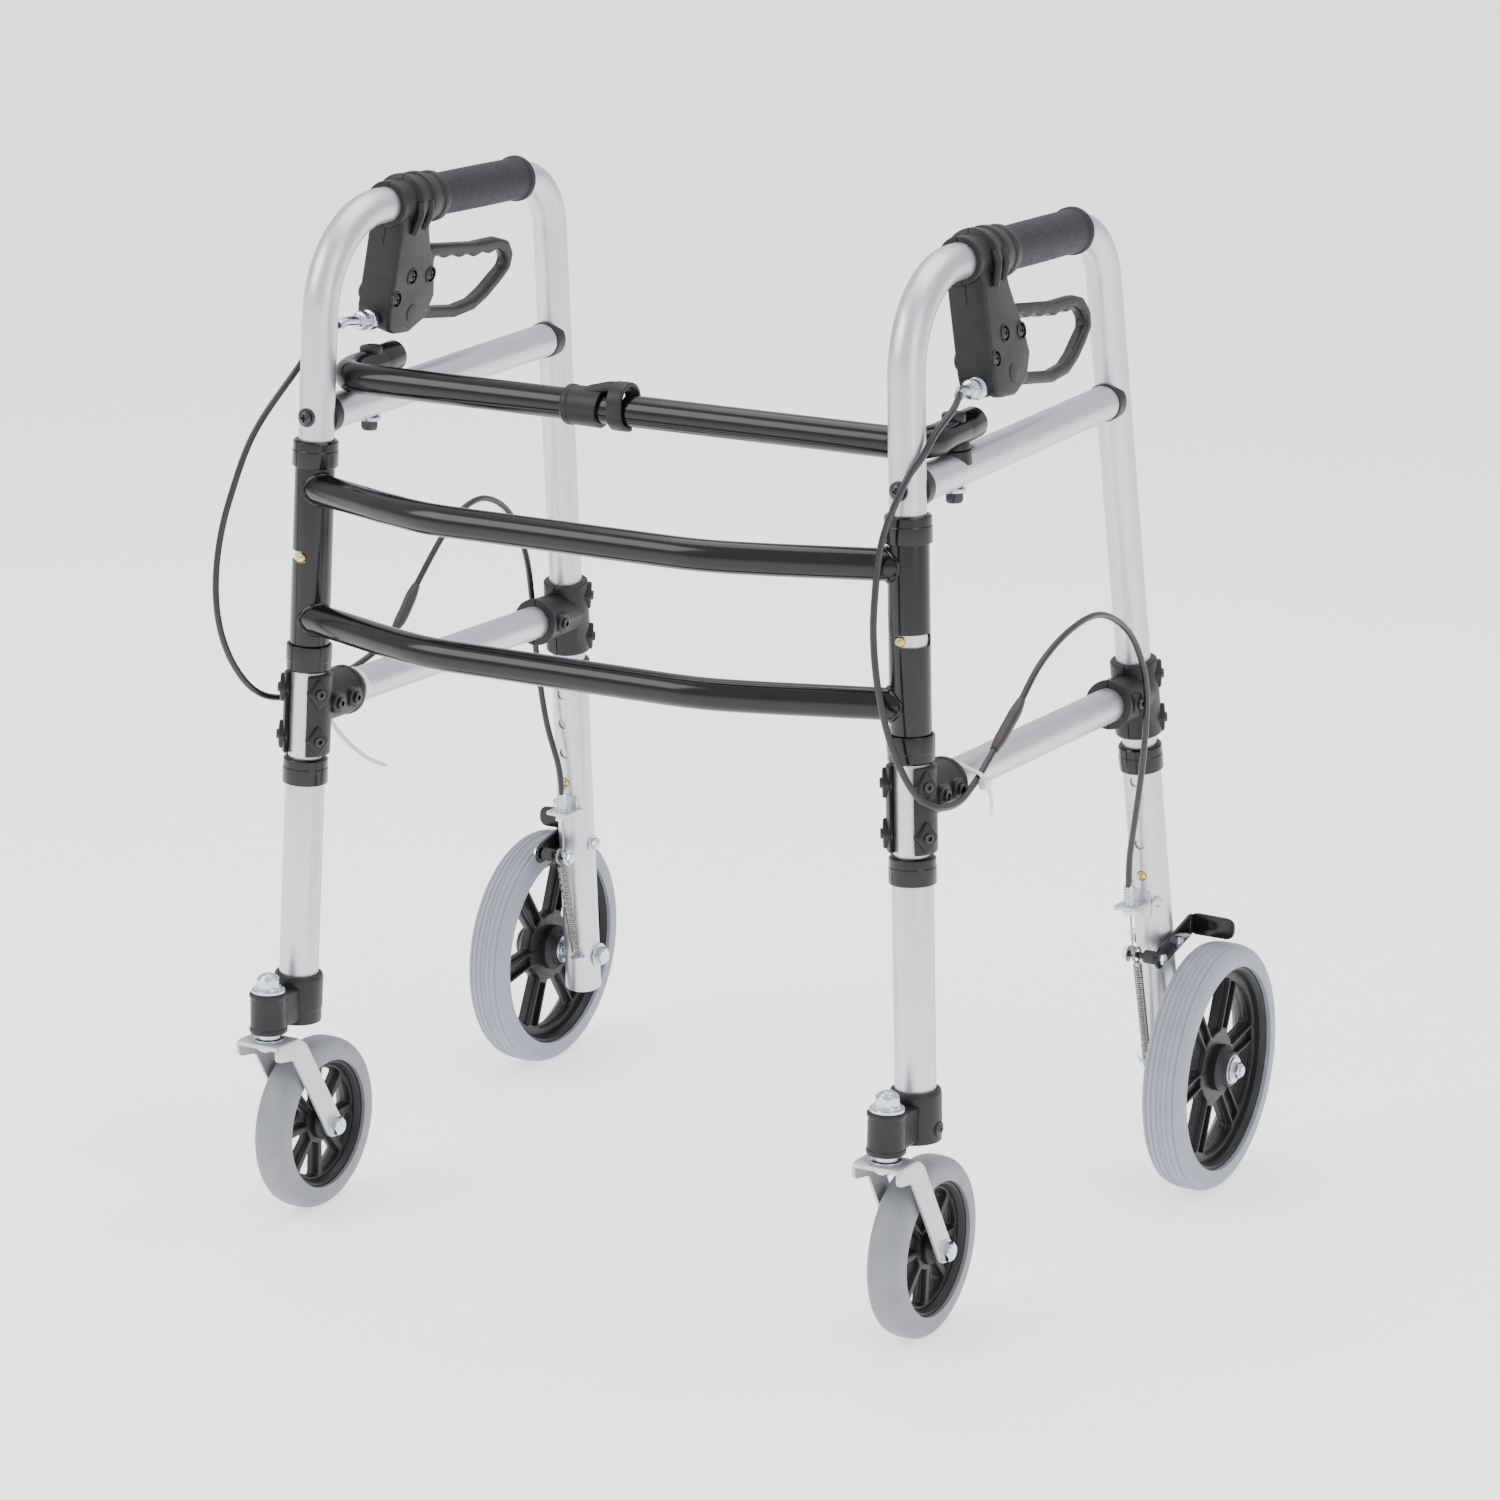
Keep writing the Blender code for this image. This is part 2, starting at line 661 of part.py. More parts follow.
def wheel(name, radius, rim_radius, width, hub_radius, hub_width, spokes, first, axle, finish):
    """A solid tyre on a spoked rim, both turning about the axle's X axis.

    The first spoke leans forwards from straight up by the angle `first`.
    """
    half = width / 2
    centre, beyond = (0, 0, 0), (1, 0, 0)
    tyre = [
        (radius - 0.008, half), (radius, half * 0.45), (radius, -half * 0.45),
        (radius - 0.008, -half), (rim_radius, -half * 0.95), (rim_radius, half * 0.95),
    ]
    turned(f"{name}_tyre", tyre, centre, beyond, axle, finish, steps=32)
    ring = rim_radius - 0.0004
    flange = half * 0.82
    rim_profile = [
        (ring, flange), (ring, -flange), (ring - 0.005, -flange), (ring - 0.005, flange)
    ]
    rim = turned(f"{name}_rim", rim_profile, centre, beyond, axle, "black_plastic", steps=32)
    join(rim, pipe(
        f"{name}_hub", (-hub_width / 2, 0, 0), (hub_width / 2, 0, 0), hub_radius, 0.004, axle
    ))
    for i in range(spokes):
        spoke = box(
            f"{name}_spoke_{i}", (-flange * 0.6, -0.006, hub_radius - 0.003),
            (flange * 0.6, 0.006, ring - 0.003), axle,
        )
        spoke.rotation_euler = (first + math.tau * i / spokes, 0, 0)
        join(rim, spoke)


def brake_arm(pivot):
    """A bent flat bar on the leg's outer side: a pin in front, a tab over the tyre behind."""
    inner_x, outer_x = 0.0152, 0.0182
    tab_end = 0.052
    outline = [
        (-0.035, -0.010), (-0.030, -0.0145), (-0.024, -0.0135), (0.030, -0.001), (0.030, 0.016),
        (-0.027, 0.002), (-0.034, -0.002),
    ]
    arm = plate("right_brake_arm", [outline], inner_x, outer_x, pivot, "gloss_black")
    join(
        arm,
        box("right_brake_tab", (inner_x, 0.027, -0.001), (tab_end, 0.030, 0.015), pivot),
        cylinder(
            "right_brake_pin", (-0.012, -0.028, -0.0065), (0.017, -0.028, -0.0065), 0.004,
            pivot, sides=10,
        ),
    )


def front_bar(name, z):
    """A bar bowed forwards between the sleeves; its ends are coped to fit them."""
    end_x = FOOT_X - z * math.tan(LEAN)
    end_y = FRONT_LEG_Y - 0.004
    half = [(end_x - 0.006, end_y), (BAR_FLAT_X + 0.045, end_y - BAR_BOW * 0.66)]
    half += [(BAR_FLAT_X + 0.015, end_y - BAR_BOW * 0.93), (BAR_FLAT_X - 0.020, end_y - BAR_BOW)]
    path = [(x, y, z) for x, y in half] + [(-x, y, z) for x, y in reversed(half)]
    bar = swept(name, path, BAR_RADIUS, None, "gloss_black")
    for sign in (1, -1):
        slope = sign * math.tan(LEAN)
        low = (sign * FOOT_X - (z - 0.03) * slope, FRONT_LEG_Y, z - 0.03)
        high = (sign * FOOT_X - (z + 0.03) * slope, FRONT_LEG_Y, z + 0.03)
        cut(bar, cylinder(f"{name}_cope_{sign}", low, high, SLEEVE_RADIUS + GAP, None, sides=24))


def sleeves(fixed):
    """A sleeve that turns on the front leg, with a collar at each end and the swing slot."""
    inner = UPPER_RADIUS + 0.0004
    sleeve = pipe(
        "right_sleeve", (0, 0, SLEEVE_LOW_Z), (0, 0, SLEEVE_HIGH_Z), SLEEVE_RADIUS, inner,
        fixed, "gloss_black",
    )
    low = SLEEVE_BUTTON_Z - SLOT_HALF_HEIGHT
    high = SLEEVE_BUTTON_Z + SLOT_HALF_HEIGHT
    cut(sleeve, box("right_swing_slot", (-0.0044, -0.02, low), (0.02, 0.0044, high), fixed))
    low_base = Vector((0, 0, 0.4117))
    high_top = Vector((0, 0, 0.5802))
    lift = Vector((0, 0, SLEEVE_COLLAR_HEIGHT))
    leg_collar(
        "right_sleeve_top_collar", high_top - lift, high_top, Vector((0, 0, SLEEVE_HIGH_Z)), fixed
    )
    leg_collar(
        "right_sleeve_bottom_collar", low_base + lift, low_base, Vector((0, 0, SLEEVE_LOW_Z)), fixed
    )


def mirror_branch(source, parent):
    """The left-hand twin of a right-hand empty or piece, and of all that is parented to it."""
    name = source.name.replace("right", "left")
    if source.type == "EMPTY":
        twin = bpy.data.objects.new(name, None)
    else:
        mesh = evaluated_mesh(source)
        mesh.transform(MIRROR)
        mesh.flip_normals()
        twin = bpy.data.objects.new(name, mesh)
    twin.parent = parent
    twin.matrix_local = MIRROR @ source.matrix_local @ MIRROR
    PARTS.objects.link(twin)
    for child in source.children:
        if not child.hide_render:
            mirror_branch(child, twin)


def build():
    side = empty("right_side", (FOOT_X, FRONT_LEG_Y, 0), (0, -LEAN, 0))
    fixed = empty("right_sleeve_axis", (FOOT_X, FRONT_LEG_Y, 0), (0, -LEAN, 0))
    handle = empty("right_handle", (0, 0, TOP_Z), (0, -HANDLE_TILT, 0), side)
    side_tube(side)
    rails(side)
    clamps(side)
    front_lower_leg(side)
    rear_lower_leg(side)
    buttons(side)
    hand_grip(side)
    lever_housing(handle)
    brake_lever(handle)
    crossbar_half(side)
    sleeves(fixed)
    swivel = empty("right_caster", (CASTER_X, CASTER_Y, 0))
    caster_housing(swivel)
    caster_fork(swivel)
    caster_axle = empty("right_caster_axle", (0, CASTER_TRAIL, CASTER_RADIUS), parent=swivel)
    wheel(
        "right_caster", CASTER_RADIUS, CASTER_RIM_RADIUS, CASTER_WIDTH, 0.011, 0.029, 8, 0,
        caster_axle, "front_tyre",
    )
    rear_axle = empty("right_rear_axle", (REAR_WHEEL_X, REAR_WHEEL_Y, REAR_WHEEL_RADIUS))
    wheel(
        "right_rear", REAR_WHEEL_RADIUS, REAR_RIM_RADIUS, REAR_WHEEL_WIDTH, 0.017, 0.038, 6,
        math.radians(-22), rear_axle, "rear_tyre",
    )
    pivot_x = FOOT_X - BRAKE_PIVOT_Z * math.tan(LEAN)
    pivot = empty("right_brake_pivot", (pivot_x, BRAKE_PIVOT_Y, BRAKE_PIVOT_Z))
    brake_arm(pivot)
    bpy.context.view_layer.update()
    for branch in (side, fixed, swivel, rear_axle, pivot):
        mirror_branch(branch, None)
    left_side = bpy.data.objects["left_side"]
    for name, route, parent in (
        ("right_brake_cable", RIGHT_CABLE, side), ("left_brake_cable", LEFT_CABLE, left_side),
    ):
        points = smooth_route(route, CABLE_SPACING)
        swept(name, points, CABLE_RADIUS, parent, "cable_black", sides=8)
    for name, z in BAR_HEIGHTS.items():
        front_bar(name, z)
    latch_clip()


clear_scene()
PARTS = new_collection("walking_frame")
CUTTERS = new_collection("cutters")
build()
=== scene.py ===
"""The looks of a folding walking frame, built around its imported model.

Metres, in the record's frame: +Z up, the user's side is +Y. Most pieces are built for the
right-hand side, in a frame of their own, and a mirror twin is made for the left-hand side.
"""

import json
import math

import bmesh
import bpy
from mathutils import Matrix, Vector


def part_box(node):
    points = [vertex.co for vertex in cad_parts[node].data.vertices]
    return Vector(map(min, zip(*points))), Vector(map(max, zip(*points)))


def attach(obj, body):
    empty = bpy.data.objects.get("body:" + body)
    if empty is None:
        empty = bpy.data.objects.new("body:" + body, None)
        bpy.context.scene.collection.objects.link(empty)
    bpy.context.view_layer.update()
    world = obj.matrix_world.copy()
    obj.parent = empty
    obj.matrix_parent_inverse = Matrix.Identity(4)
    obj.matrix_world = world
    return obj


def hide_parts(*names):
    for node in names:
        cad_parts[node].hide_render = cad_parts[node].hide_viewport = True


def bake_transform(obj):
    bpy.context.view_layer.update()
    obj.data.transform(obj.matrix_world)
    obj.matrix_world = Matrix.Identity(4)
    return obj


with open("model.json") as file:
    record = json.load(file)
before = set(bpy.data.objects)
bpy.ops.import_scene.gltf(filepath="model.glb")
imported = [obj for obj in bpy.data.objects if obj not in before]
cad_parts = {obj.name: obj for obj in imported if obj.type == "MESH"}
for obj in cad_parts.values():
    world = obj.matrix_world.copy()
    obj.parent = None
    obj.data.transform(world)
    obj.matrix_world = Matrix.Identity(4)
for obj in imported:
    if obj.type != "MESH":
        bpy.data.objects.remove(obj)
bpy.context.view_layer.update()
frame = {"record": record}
JOINTS = {joint["name"]: joint for joint in frame["record"]["behaviour"]["joints"]}

# Tubes and heights along the legs, as in the CAD
UPPER_RADIUS = 0.0127
LOWER_RADIUS = 0.0143
BAR_RADIUS = 0.0111
TOP_Z = 0.738
FRONT_BEND = 0.07
REAR_BEND = 0.05
UPPER_TUBE_END_Z = 0.2
LOWER_TUBE_TOP_Z = 0.345
UPPER_RAIL_Z = 0.5956
RAIL_SLOPE = 0.044
LOWER_RAIL_Z = 0.387
REAR_FOOT_Y = 0.423
BUTTON_Z = 0.248
HOLE_PITCH = 0.025
SLEEVE_LOW_Z = 0.414
SLEEVE_HIGH_Z = 0.578
SLEEVE_BUTTON_Z = 0.496
COLLAR_RADIUS = 0.0165
CLAMP_RADIUS = 0.0174
CHEEK_LEAN = 0.55
BAR_HEIGHTS = {"upper_front_bar": 0.545, "lower_front_bar": 0.4505}
BAR_BOW = 0.0479
BAR_FLAT_X = 0.112
CROSSBAR_PIVOT_Y = 0.068
CROSSBAR_REACH = 0.0435
CROSSBAR_TAIL = 0.0295
CASTER_RADIUS = 0.064
REAR_WHEEL_RADIUS = 0.094

ROUND = 48
MIRROR = Matrix.Scale(-1, 4, (1, 0, 0))
IDENTITY = Matrix.Identity(4)
SIDES = (("right", IDENTITY), ("left", MIRROR))


def joint_frame(name, z_axis=None, x_axis=None):
    """The right-hand frame at a joint: one axis as given and +Y kept as near as can be."""
    at = Vector(JOINTS[name].get("pos_m", (0, 0, 0)))
    if z_axis:
        up = Vector(z_axis).normalized()
        across = Vector((0, 1, 0)).cross(up).normalized()
    else:
        across = Vector(x_axis or (1, 0, 0)).normalized()
        up = across.cross(Vector((0, 1, 0))).normalized()
    back = up.cross(across)
    turn = Matrix((across, back, up)).transposed().to_4x4()
    return Matrix.Translation(at) @ turn


SIDE = joint_frame("right_fold", z_axis=JOINTS["right_fold"]["axis"])
LEVER_PIVOT = (0, 0.092, -0.066)
HANDLE = joint_frame("right_lever_pull", x_axis=JOINTS["right_lever_pull"]["axis"])
HANDLE = HANDLE @ Matrix.Translation(LEVER_PIVOT).inverted()
CROSSBAR = joint_frame(
    "right_crossbar_swing", z_axis=-Vector(JOINTS["right_crossbar_swing"]["axis"])
)
CASTER = Matrix.Translation((*JOINTS["right_caster_turn"]["pos_m"][:2], 0))
CASTER_AXLE = joint_frame("right_caster_spin")
REAR_AXLE = joint_frame("right_rear_wheel_spin")
BRAKE = joint_frame("right_brake_press")
LEG_DOWN = SIDE.to_3x3().inverted() @ Vector(JOINTS["right_rear_leg_slide"]["axis"])
REAR_RAKE = math.atan2(LEG_DOWN.y, -LEG_DOWN.z)
REAR = SIDE @ Matrix.Translation((0, REAR_FOOT_Y, 0)) @ Matrix.Rotation(REAR_RAKE, 4, "X")
LEAN = math.atan2(-SIDE.col[2].x, SIDE.col[2].z)


def up_leg(height):
    """How far up the raked rear leg a height of the side frame is."""
    return height / math.cos(REAR_RAKE)


# Materials -----------------------------------------------------------------------------

class Finish:
    """A Principled material whose colour, roughness and relief come from noise."""

    def __init__(self, name, slot, colour, roughness, metallic=0.0):
        self.slot = slot
        self.material = bpy.data.materials.new(name)
        self.material.use_nodes = True
        self.tree = self.material.node_tree
        self.shader = self.tree.nodes["Principled BSDF"]
        self.place = self.tree.nodes.new("ShaderNodeTexCoord").outputs["Object"]
        self.colour = colour
        self.set("Base Color", (*colour, 1))
        self.set("Roughness", roughness)
        self.set("Metallic", metallic)
        self.last_bump = None

    def set(self, socket, value):
        self.shader.inputs[socket].default_value = value
        return self

    def node(self, kind, **settings):
        made = self.tree.nodes.new(kind)
        for name, value in settings.items():
            setattr(made, name, value)
        return made

    def link(self, source, target):
        self.tree.links.new(source, target)

    def noise(self, scale, detail=3.0, stretch=(1, 1, 1)):
        squeeze = self.node("ShaderNodeMapping")
        squeeze.inputs["Scale"].default_value = stretch
        self.link(self.place, squeeze.inputs["Vector"])
        made = self.node("ShaderNodeTexNoise")
        made.inputs["Scale"].default_value = scale
        made.inputs["Detail"].default_value = detail
        self.link(squeeze.outputs["Vector"], made.inputs["Vector"])
        return made.outputs["Fac"]

    def cells(self, scale):
        made = self.node("ShaderNodeTexVoronoi")
        made.inputs["Scale"].default_value = scale
        self.link(self.place, made.inputs["Vector"])
        return made.outputs["Distance"]

    def ranged(self, source, low, high, from_low=0.3, from_high=0.7):
        made = self.node("ShaderNodeMapRange")
        made.inputs["From Min"].default_value = from_low
        made.inputs["From Max"].default_value = from_high
        made.inputs["To Min"].default_value = low
        made.inputs["To Max"].default_value = high
        self.link(source, made.inputs["Value"])
        return made.outputs["Result"]

    def vary_colour(self, source, other, low=0.3, high=0.7):
        mix = self.node("ShaderNodeMix", data_type="RGBA")
        mix.inputs["A"].default_value = (*self.colour, 1)
        mix.inputs["B"].default_value = (*other, 1)
        self.link(self.ranged(source, 0, 1, low, high), mix.inputs["Factor"])
        self.link(mix.outputs["Result"], self.shader.inputs["Base Color"])
        return self

    def vary_roughness(self, source, low, high):
        self.link(self.ranged(source, low, high), self.shader.inputs["Roughness"])
        return self

    def relief(self, source, height, strength=1.0):
        bump = self.node("ShaderNodeBump")
        bump.inputs["Distance"].default_value = height
        bump.inputs["Strength"].default_value = strength
        self.link(source, bump.inputs["Height"])
        if self.last_bump:
            self.link(self.last_bump, bump.inputs["Normal"])
        self.last_bump = bump.outputs["Normal"]
        self.link(self.last_bump, self.shader.inputs["Normal"])
        return self


def aluminium():
    made = Finish("satin_aluminium", "aluminium", (0.6, 0.6, 0.635), 0.36, 0.88)
    made.vary_colour(made.noise(26, 2), (0.565, 0.57, 0.61))
    made.vary_roughness(made.noise(260, 4, (1, 1, 0.12)), 0.33, 0.42)
    made.relief(made.noise(2600, 3, (1, 1, 0.06)), 0.00002, 0.35)
    return made


def gloss_black():
    made = Finish("gloss_black_coat", "gloss_black", (0.0035, 0.0035, 0.004), 0.16)
    made.vary_colour(made.noise(60, 2), (0.005, 0.005, 0.0055))
    made.vary_roughness(made.noise(340, 3), 0.13, 0.2)
    made.relief(made.noise(420, 2), 0.00006, 0.12)
    made.set("IOR", 1.42)
    return made


def black_plastic():
    made = Finish("moulded_black_plastic", "black_plastic", (0.0085, 0.0088, 0.01), 0.46)
    made.set("IOR", 1.38)
    made.vary_colour(made.noise(90, 4), (0.0125, 0.0128, 0.0145))
    made.vary_roughness(made.noise(700, 3), 0.36, 0.5)
    made.relief(made.cells(1900), 0.00006, 0.35)
    made.relief(made.noise(240, 3), 0.0001, 0.12)
    return made


def grip_rubber():
    made = Finish("grip_rubber", "grip_rubber", (0.0125, 0.0135, 0.0175), 0.62)
    made.set("IOR", 1.38)
    made.vary_colour(made.noise(120, 4), (0.0185, 0.0195, 0.0245))
    made.vary_roughness(made.noise(500, 3), 0.55, 0.72)
    made.relief(made.cells(1500), 0.0001, 0.5)
    return made


def rear_tyre():
    made = Finish("blue_grey_tyre", "rear_tyre", (0.275, 0.295, 0.345), 0.6)
    made.vary_colour(made.noise(70, 5), (0.245, 0.265, 0.312))
    made.vary_roughness(made.noise(420, 3), 0.52, 0.7)
    made.relief(made.noise(1300, 4), 0.0001, 0.3)
    return made


def front_tyre():
    made = Finish("grey_tyre", "front_tyre", (0.215, 0.225, 0.245), 0.5)
    made.vary_colour(made.noise(60, 5), (0.185, 0.195, 0.215))
    made.vary_roughness(made.noise(420, 3), 0.42, 0.6)
    made.relief(made.noise(1100, 4), 0.0001, 0.25)
    return made


def painted_fork():
    made = Finish("silver_paint", "painted_fork", (0.5, 0.5, 0.52), 0.34, 0.55)
    made.vary_colour(made.noise(900, 2), (0.57, 0.57, 0.59))
    made.vary_roughness(made.noise(300, 3), 0.28, 0.42)
    made.relief(made.noise(700, 2), 0.00006, 0.25)
    return made


def cable_jacket():
    made = Finish("cable_jacket", "cable_black", (0.01, 0.01, 0.012), 0.3)
    made.vary_colour(made.noise(150, 3), (0.016, 0.016, 0.019))
    made.vary_roughness(made.noise(500, 3), 0.24, 0.38)
    made.relief(made.noise(900, 2), 0.00005, 0.2)
    return made


def plated_steel(name, colour, other, roughness, slot="painted_fork"):
    made = Finish(name, slot, colour, roughness, 1.0)
    made.vary_colour(made.noise(220, 3), other)
    made.vary_roughness(made.noise(600, 3), roughness - 0.05, roughness + 0.1)
    made.relief(made.noise(1500, 3), 0.00004, 0.3)
    return made


def brass():
    made = Finish("turned_brass", "brass", (0.68, 0.5, 0.17), 0.24, 1.0)
    made.vary_colour(made.noise(500, 3), (0.58, 0.41, 0.12))
    made.vary_roughness(made.noise(800, 3), 0.18, 0.34)
    made.relief(made.noise(2000, 2), 0.00003, 0.3)
    return made


def plain_moulding(name, slot, colour, other, roughness):
    made = Finish(name, slot, colour, roughness)
    made.vary_colour(made.noise(300, 3), other)
    made.vary_roughness(made.noise(500, 3), roughness - 0.06, roughness + 0.08)
    made.relief(made.noise(1200, 3), 0.00008, 0.3)
    return made


ALUMINIUM = aluminium()
GLOSS = gloss_black()
PLASTIC = black_plastic()
GRIP = grip_rubber()
REAR_TYRE = rear_tyre()
FRONT_TYRE = front_tyre()
FORK = painted_fork()
JACKET = cable_jacket()
BRASS = brass()
ZINC = plated_steel("bright_zinc", (0.62, 0.66, 0.7), (0.54, 0.6, 0.67), 0.22)
DARK_STEEL = plated_steel(
    "black_oxide", (0.045, 0.045, 0.05), (0.07, 0.07, 0.075), 0.36, "gloss_black"
)
SPRING = plated_steel("spring_steel", (0.36, 0.35, 0.34), (0.26, 0.25, 0.25), 0.34)
NYLON = plain_moulding("white_nylon", "aluminium", (0.78, 0.78, 0.76), (0.7, 0.7, 0.68), 0.42)
RUBBER = plain_moulding(
    "black_rubber", "cable_black", (0.014, 0.014, 0.015), (0.022, 0.022, 0.023), 0.6
)
BROWN = plain_moulding(
    "dark_brown_sleeve", "cable_black", (0.024, 0.019, 0.016), (0.034, 0.027, 0.023), 0.4
)


# Mesh tools ----------------------------------------------------------------------------

def mesh_from(build):
    shape = bmesh.new()
    build(shape)
    bmesh.ops.remove_doubles(shape, verts=shape.verts, dist=0.000001)
    bmesh.ops.recalc_face_normals(shape, faces=shape.faces)
    mesh = bpy.data.meshes.new("shape")
    shape.to_mesh(mesh)
    shape.free()
    return mesh


def merged(*meshes):
    """Several meshes as one; the meshes given are used up."""
    shape = bmesh.new()
    for mesh in meshes:
        shape.from_mesh(mesh)
        bpy.data.meshes.remove(mesh)
    mesh = bpy.data.meshes.new("merged")
    shape.to_mesh(mesh)
    shape.free()
    return mesh


def moved(mesh, matrix):
    copy = mesh.copy()
    copy.transform(matrix)
    if matrix.determinant() < 0:
        copy.flip_normals()
    return copy


def towards(start, direction):
    """The frame at start whose Z axis lies along the direction."""
    turn = Vector(direction).to_track_quat("Z", "Y").to_matrix().to_4x4()
    return Matrix.Translation(start) @ turn


def raised(height):
    return Matrix.Translation((0, 0, height))


def facing(x, y, z, sign):
    """The frame at a point whose Z axis faces outwards or inwards across the walking frame."""
    return towards((x, y, z), (sign, 0, 0))


# The frame whose Z axis lies across the walking frame
ACROSS = facing(0, 0, 0, 1)


def skin(shape, rings, closed=False):
    """Joins rings of points with faces; all rings have the same count of points."""
    made = [[shape.verts.new(point) for point in ring] for ring in rings]
    pairs = list(zip(made, made[1:]))
    if closed:
        pairs.append((made[-1], made[0]))
    for low, high in pairs:
        count = len(low)
        for i in range(count):
            following = (i + 1) % count
            shape.faces.new((low[i], low[following], high[following], high[i]))
    if not closed:
        shape.faces.new(reversed(made[0]))
        shape.faces.new(made[-1])


def sweep(points, radius, sides=ROUND, closed=False):
    """A round tube along points; the radius may be one number or one for each point."""
    points = [Vector(point) for point in points]
    count = len(points)
    radii = radius if isinstance(radius, list) else [radius] * count
    rings = []
    tangent = (points[1] - points[0]).normalized()
    normal = tangent.orthogonal().normalized()
    for i, point in enumerate(points):
        before = points[i - 1] if i or closed else point
        after = points[(i + 1) % count] if i < count - 1 or closed else point
        ahead = (after - before).normalized()
        normal = (tangent.rotation_difference(ahead) @ normal).normalized()
        tangent = ahead
        across = tangent.cross(normal)
        ring = []
        for k in range(sides):
            angle = math.tau * k / sides
            offset = normal * math.cos(angle) + across * math.sin(angle)
            ring.append(point + offset * radii[i])
        rings.append(ring)
    return mesh_from(lambda shape: skin(shape, rings, closed))


def lathe(profile, at=IDENTITY, steps=ROUND, closed=False):
    """A profile of (radius, height) points turned about Z, or about another frame's Z."""
    rings = []
    for radius, height in profile:
        ring = []
        for k in range(steps):
            angle = math.tau * k / steps
            ring.append(Vector((radius * math.cos(angle), radius * math.sin(angle), height)))
        rings.append(ring)
    mesh = mesh_from(lambda shape: skin(shape, rings, closed))
    mesh.transform(at)
    return mesh


def rounded(points, radius, steps=4):
    """The corners of an open profile or path replaced by arcs of about the radius."""
    points = [Vector(point) for point in points]
    route = [points[0]]
    for before, corner, after in zip(points, points[1:], points[2:]):
        back = before - corner
        ahead = after - corner
        turn = math.pi - back.angle(ahead, math.pi)
        if turn < 0.01:
            route.append(corner)
            continue
        reach = min(radius * math.tan(turn / 2), back.length * 0.49, ahead.length * 0.49)
        start = corner + back.normalized() * reach
        end = corner + ahead.normalized() * reach
        for k in range(steps + 1):
            t = k / steps
            route.append(start * (1 - t) ** 2 + corner * 2 * t * (1 - t) + end * t**2)
    return route + [points[-1]]


def rounded_loop(points, radius, steps=4):
    """A closed outline with its corners rounded."""
    points = [Vector(point) for point in points]
    route = rounded([points[-1]] + points + [points[0]], radius, steps)
    return route[1:-1]


def outline(points, radius, steps=4):
    """A closed outline with its corners rounded, as pairs of numbers."""
    return [(point.x, point.y) for point in rounded_loop(points, radius, steps)]


def turned(profile, at=IDENTITY, radius=0.0005, steps=ROUND, closed=False):
    """A lathe shape whose profile corners are rounded."""
    if closed:
        corners = rounded_loop(profile, radius, 3)
    else:
        corners = rounded(profile, radius, 3)
    return lathe([(max(point.x, 0), point.y) for point in corners], at, steps, closed)


def block(low, high, bevel=0.001, segments=2):
    size = Vector(high) - Vector(low)
    centre = (Vector(high) + Vector(low)) / 2

    def build(shape):
        bmesh.ops.create_cube(
            shape, size=1, matrix=Matrix.Translation(centre) @ Matrix.Diagonal((*size, 1))
        )
        if bevel:
            bmesh.ops.bevel(
                shape, geom=list(shape.edges), offset=bevel, segments=segments,
                affect="EDGES", profile=0.5,
            )

    return mesh_from(build)


def plate(outlines, low_x, high_x, bevel=0.001, segments=2):
    """Outlines of (y, z) points extruded across X with rounded edges; inner ones are holes."""
    curve = bpy.data.curves.new("outline", "CURVE")
    curve.dimensions = "2D"
    curve.fill_mode = "BOTH"
    curve.extrude = (high_x - low_x) / 2 - bevel
    curve.bevel_depth = bevel
    curve.offset = -bevel
    curve.bevel_resolution = segments
    for loop in outlines:
        spline = curve.splines.new("POLY")
        spline.points.add(len(loop) - 1)
        spline.use_cyclic_u = True
        for point, (y, z) in zip(spline.points, loop):
            point.co = (y, z, 0, 1)
    guide = bpy.data.objects.new("guide", curve)
    bpy.context.scene.collection.objects.link(guide)
    bpy.context.view_layer.update()
    mesh = bpy.data.meshes.new_from_object(guide)
    bpy.data.objects.remove(guide)
    stand_up = Matrix(((0, 0, 1, 0), (1, 0, 0, 0), (0, 1, 0, 0), (0, 0, 0, 1)))
    mesh.transform(Matrix.Translation(((high_x + low_x) / 2, 0, 0)) @ stand_up)
    shape = bmesh.new()
    shape.from_mesh(mesh)
    bmesh.ops.remove_doubles(shape, verts=shape.verts, dist=0.00001)
    bmesh.ops.recalc_face_normals(shape, faces=shape.faces)
    shape.to_mesh(mesh)
    shape.free()
    return mesh


def carved(mesh, operation, *others):
    """The mesh after Booleans with the others; every mesh given is used up."""
    target = bpy.data.objects.new("target", mesh)
    bpy.context.scene.collection.objects.link(target)
    helpers = []
    for other in others:
        helper = bpy.data.objects.new("helper", other)
        bpy.context.scene.collection.objects.link(helper)
        helpers.append(helper)
        step = target.modifiers.new("step", "BOOLEAN")
        step.operation = operation
        step.object = helper
    bpy.context.view_layer.update()
    graph = bpy.context.evaluated_depsgraph_get()
    result = bpy.data.meshes.new_from_object(target.evaluated_get(graph))
    for helper in [target] + helpers:
        bpy.data.objects.remove(helper)
    return result


def rod(start, end, radius, sides=ROUND, bevel=0.0):
    """A plain cylinder between two points, or one with rounded rims."""
    length = (Vector(end) - Vector(start)).length
    at = towards(start, Vector(end) - Vector(start))
    if not bevel:
        return lathe([(radius, 0), (radius, length)], at, sides)
    return turned([(0, 0), (radius, 0), (radius, length), (0, length)], at, bevel, sides)


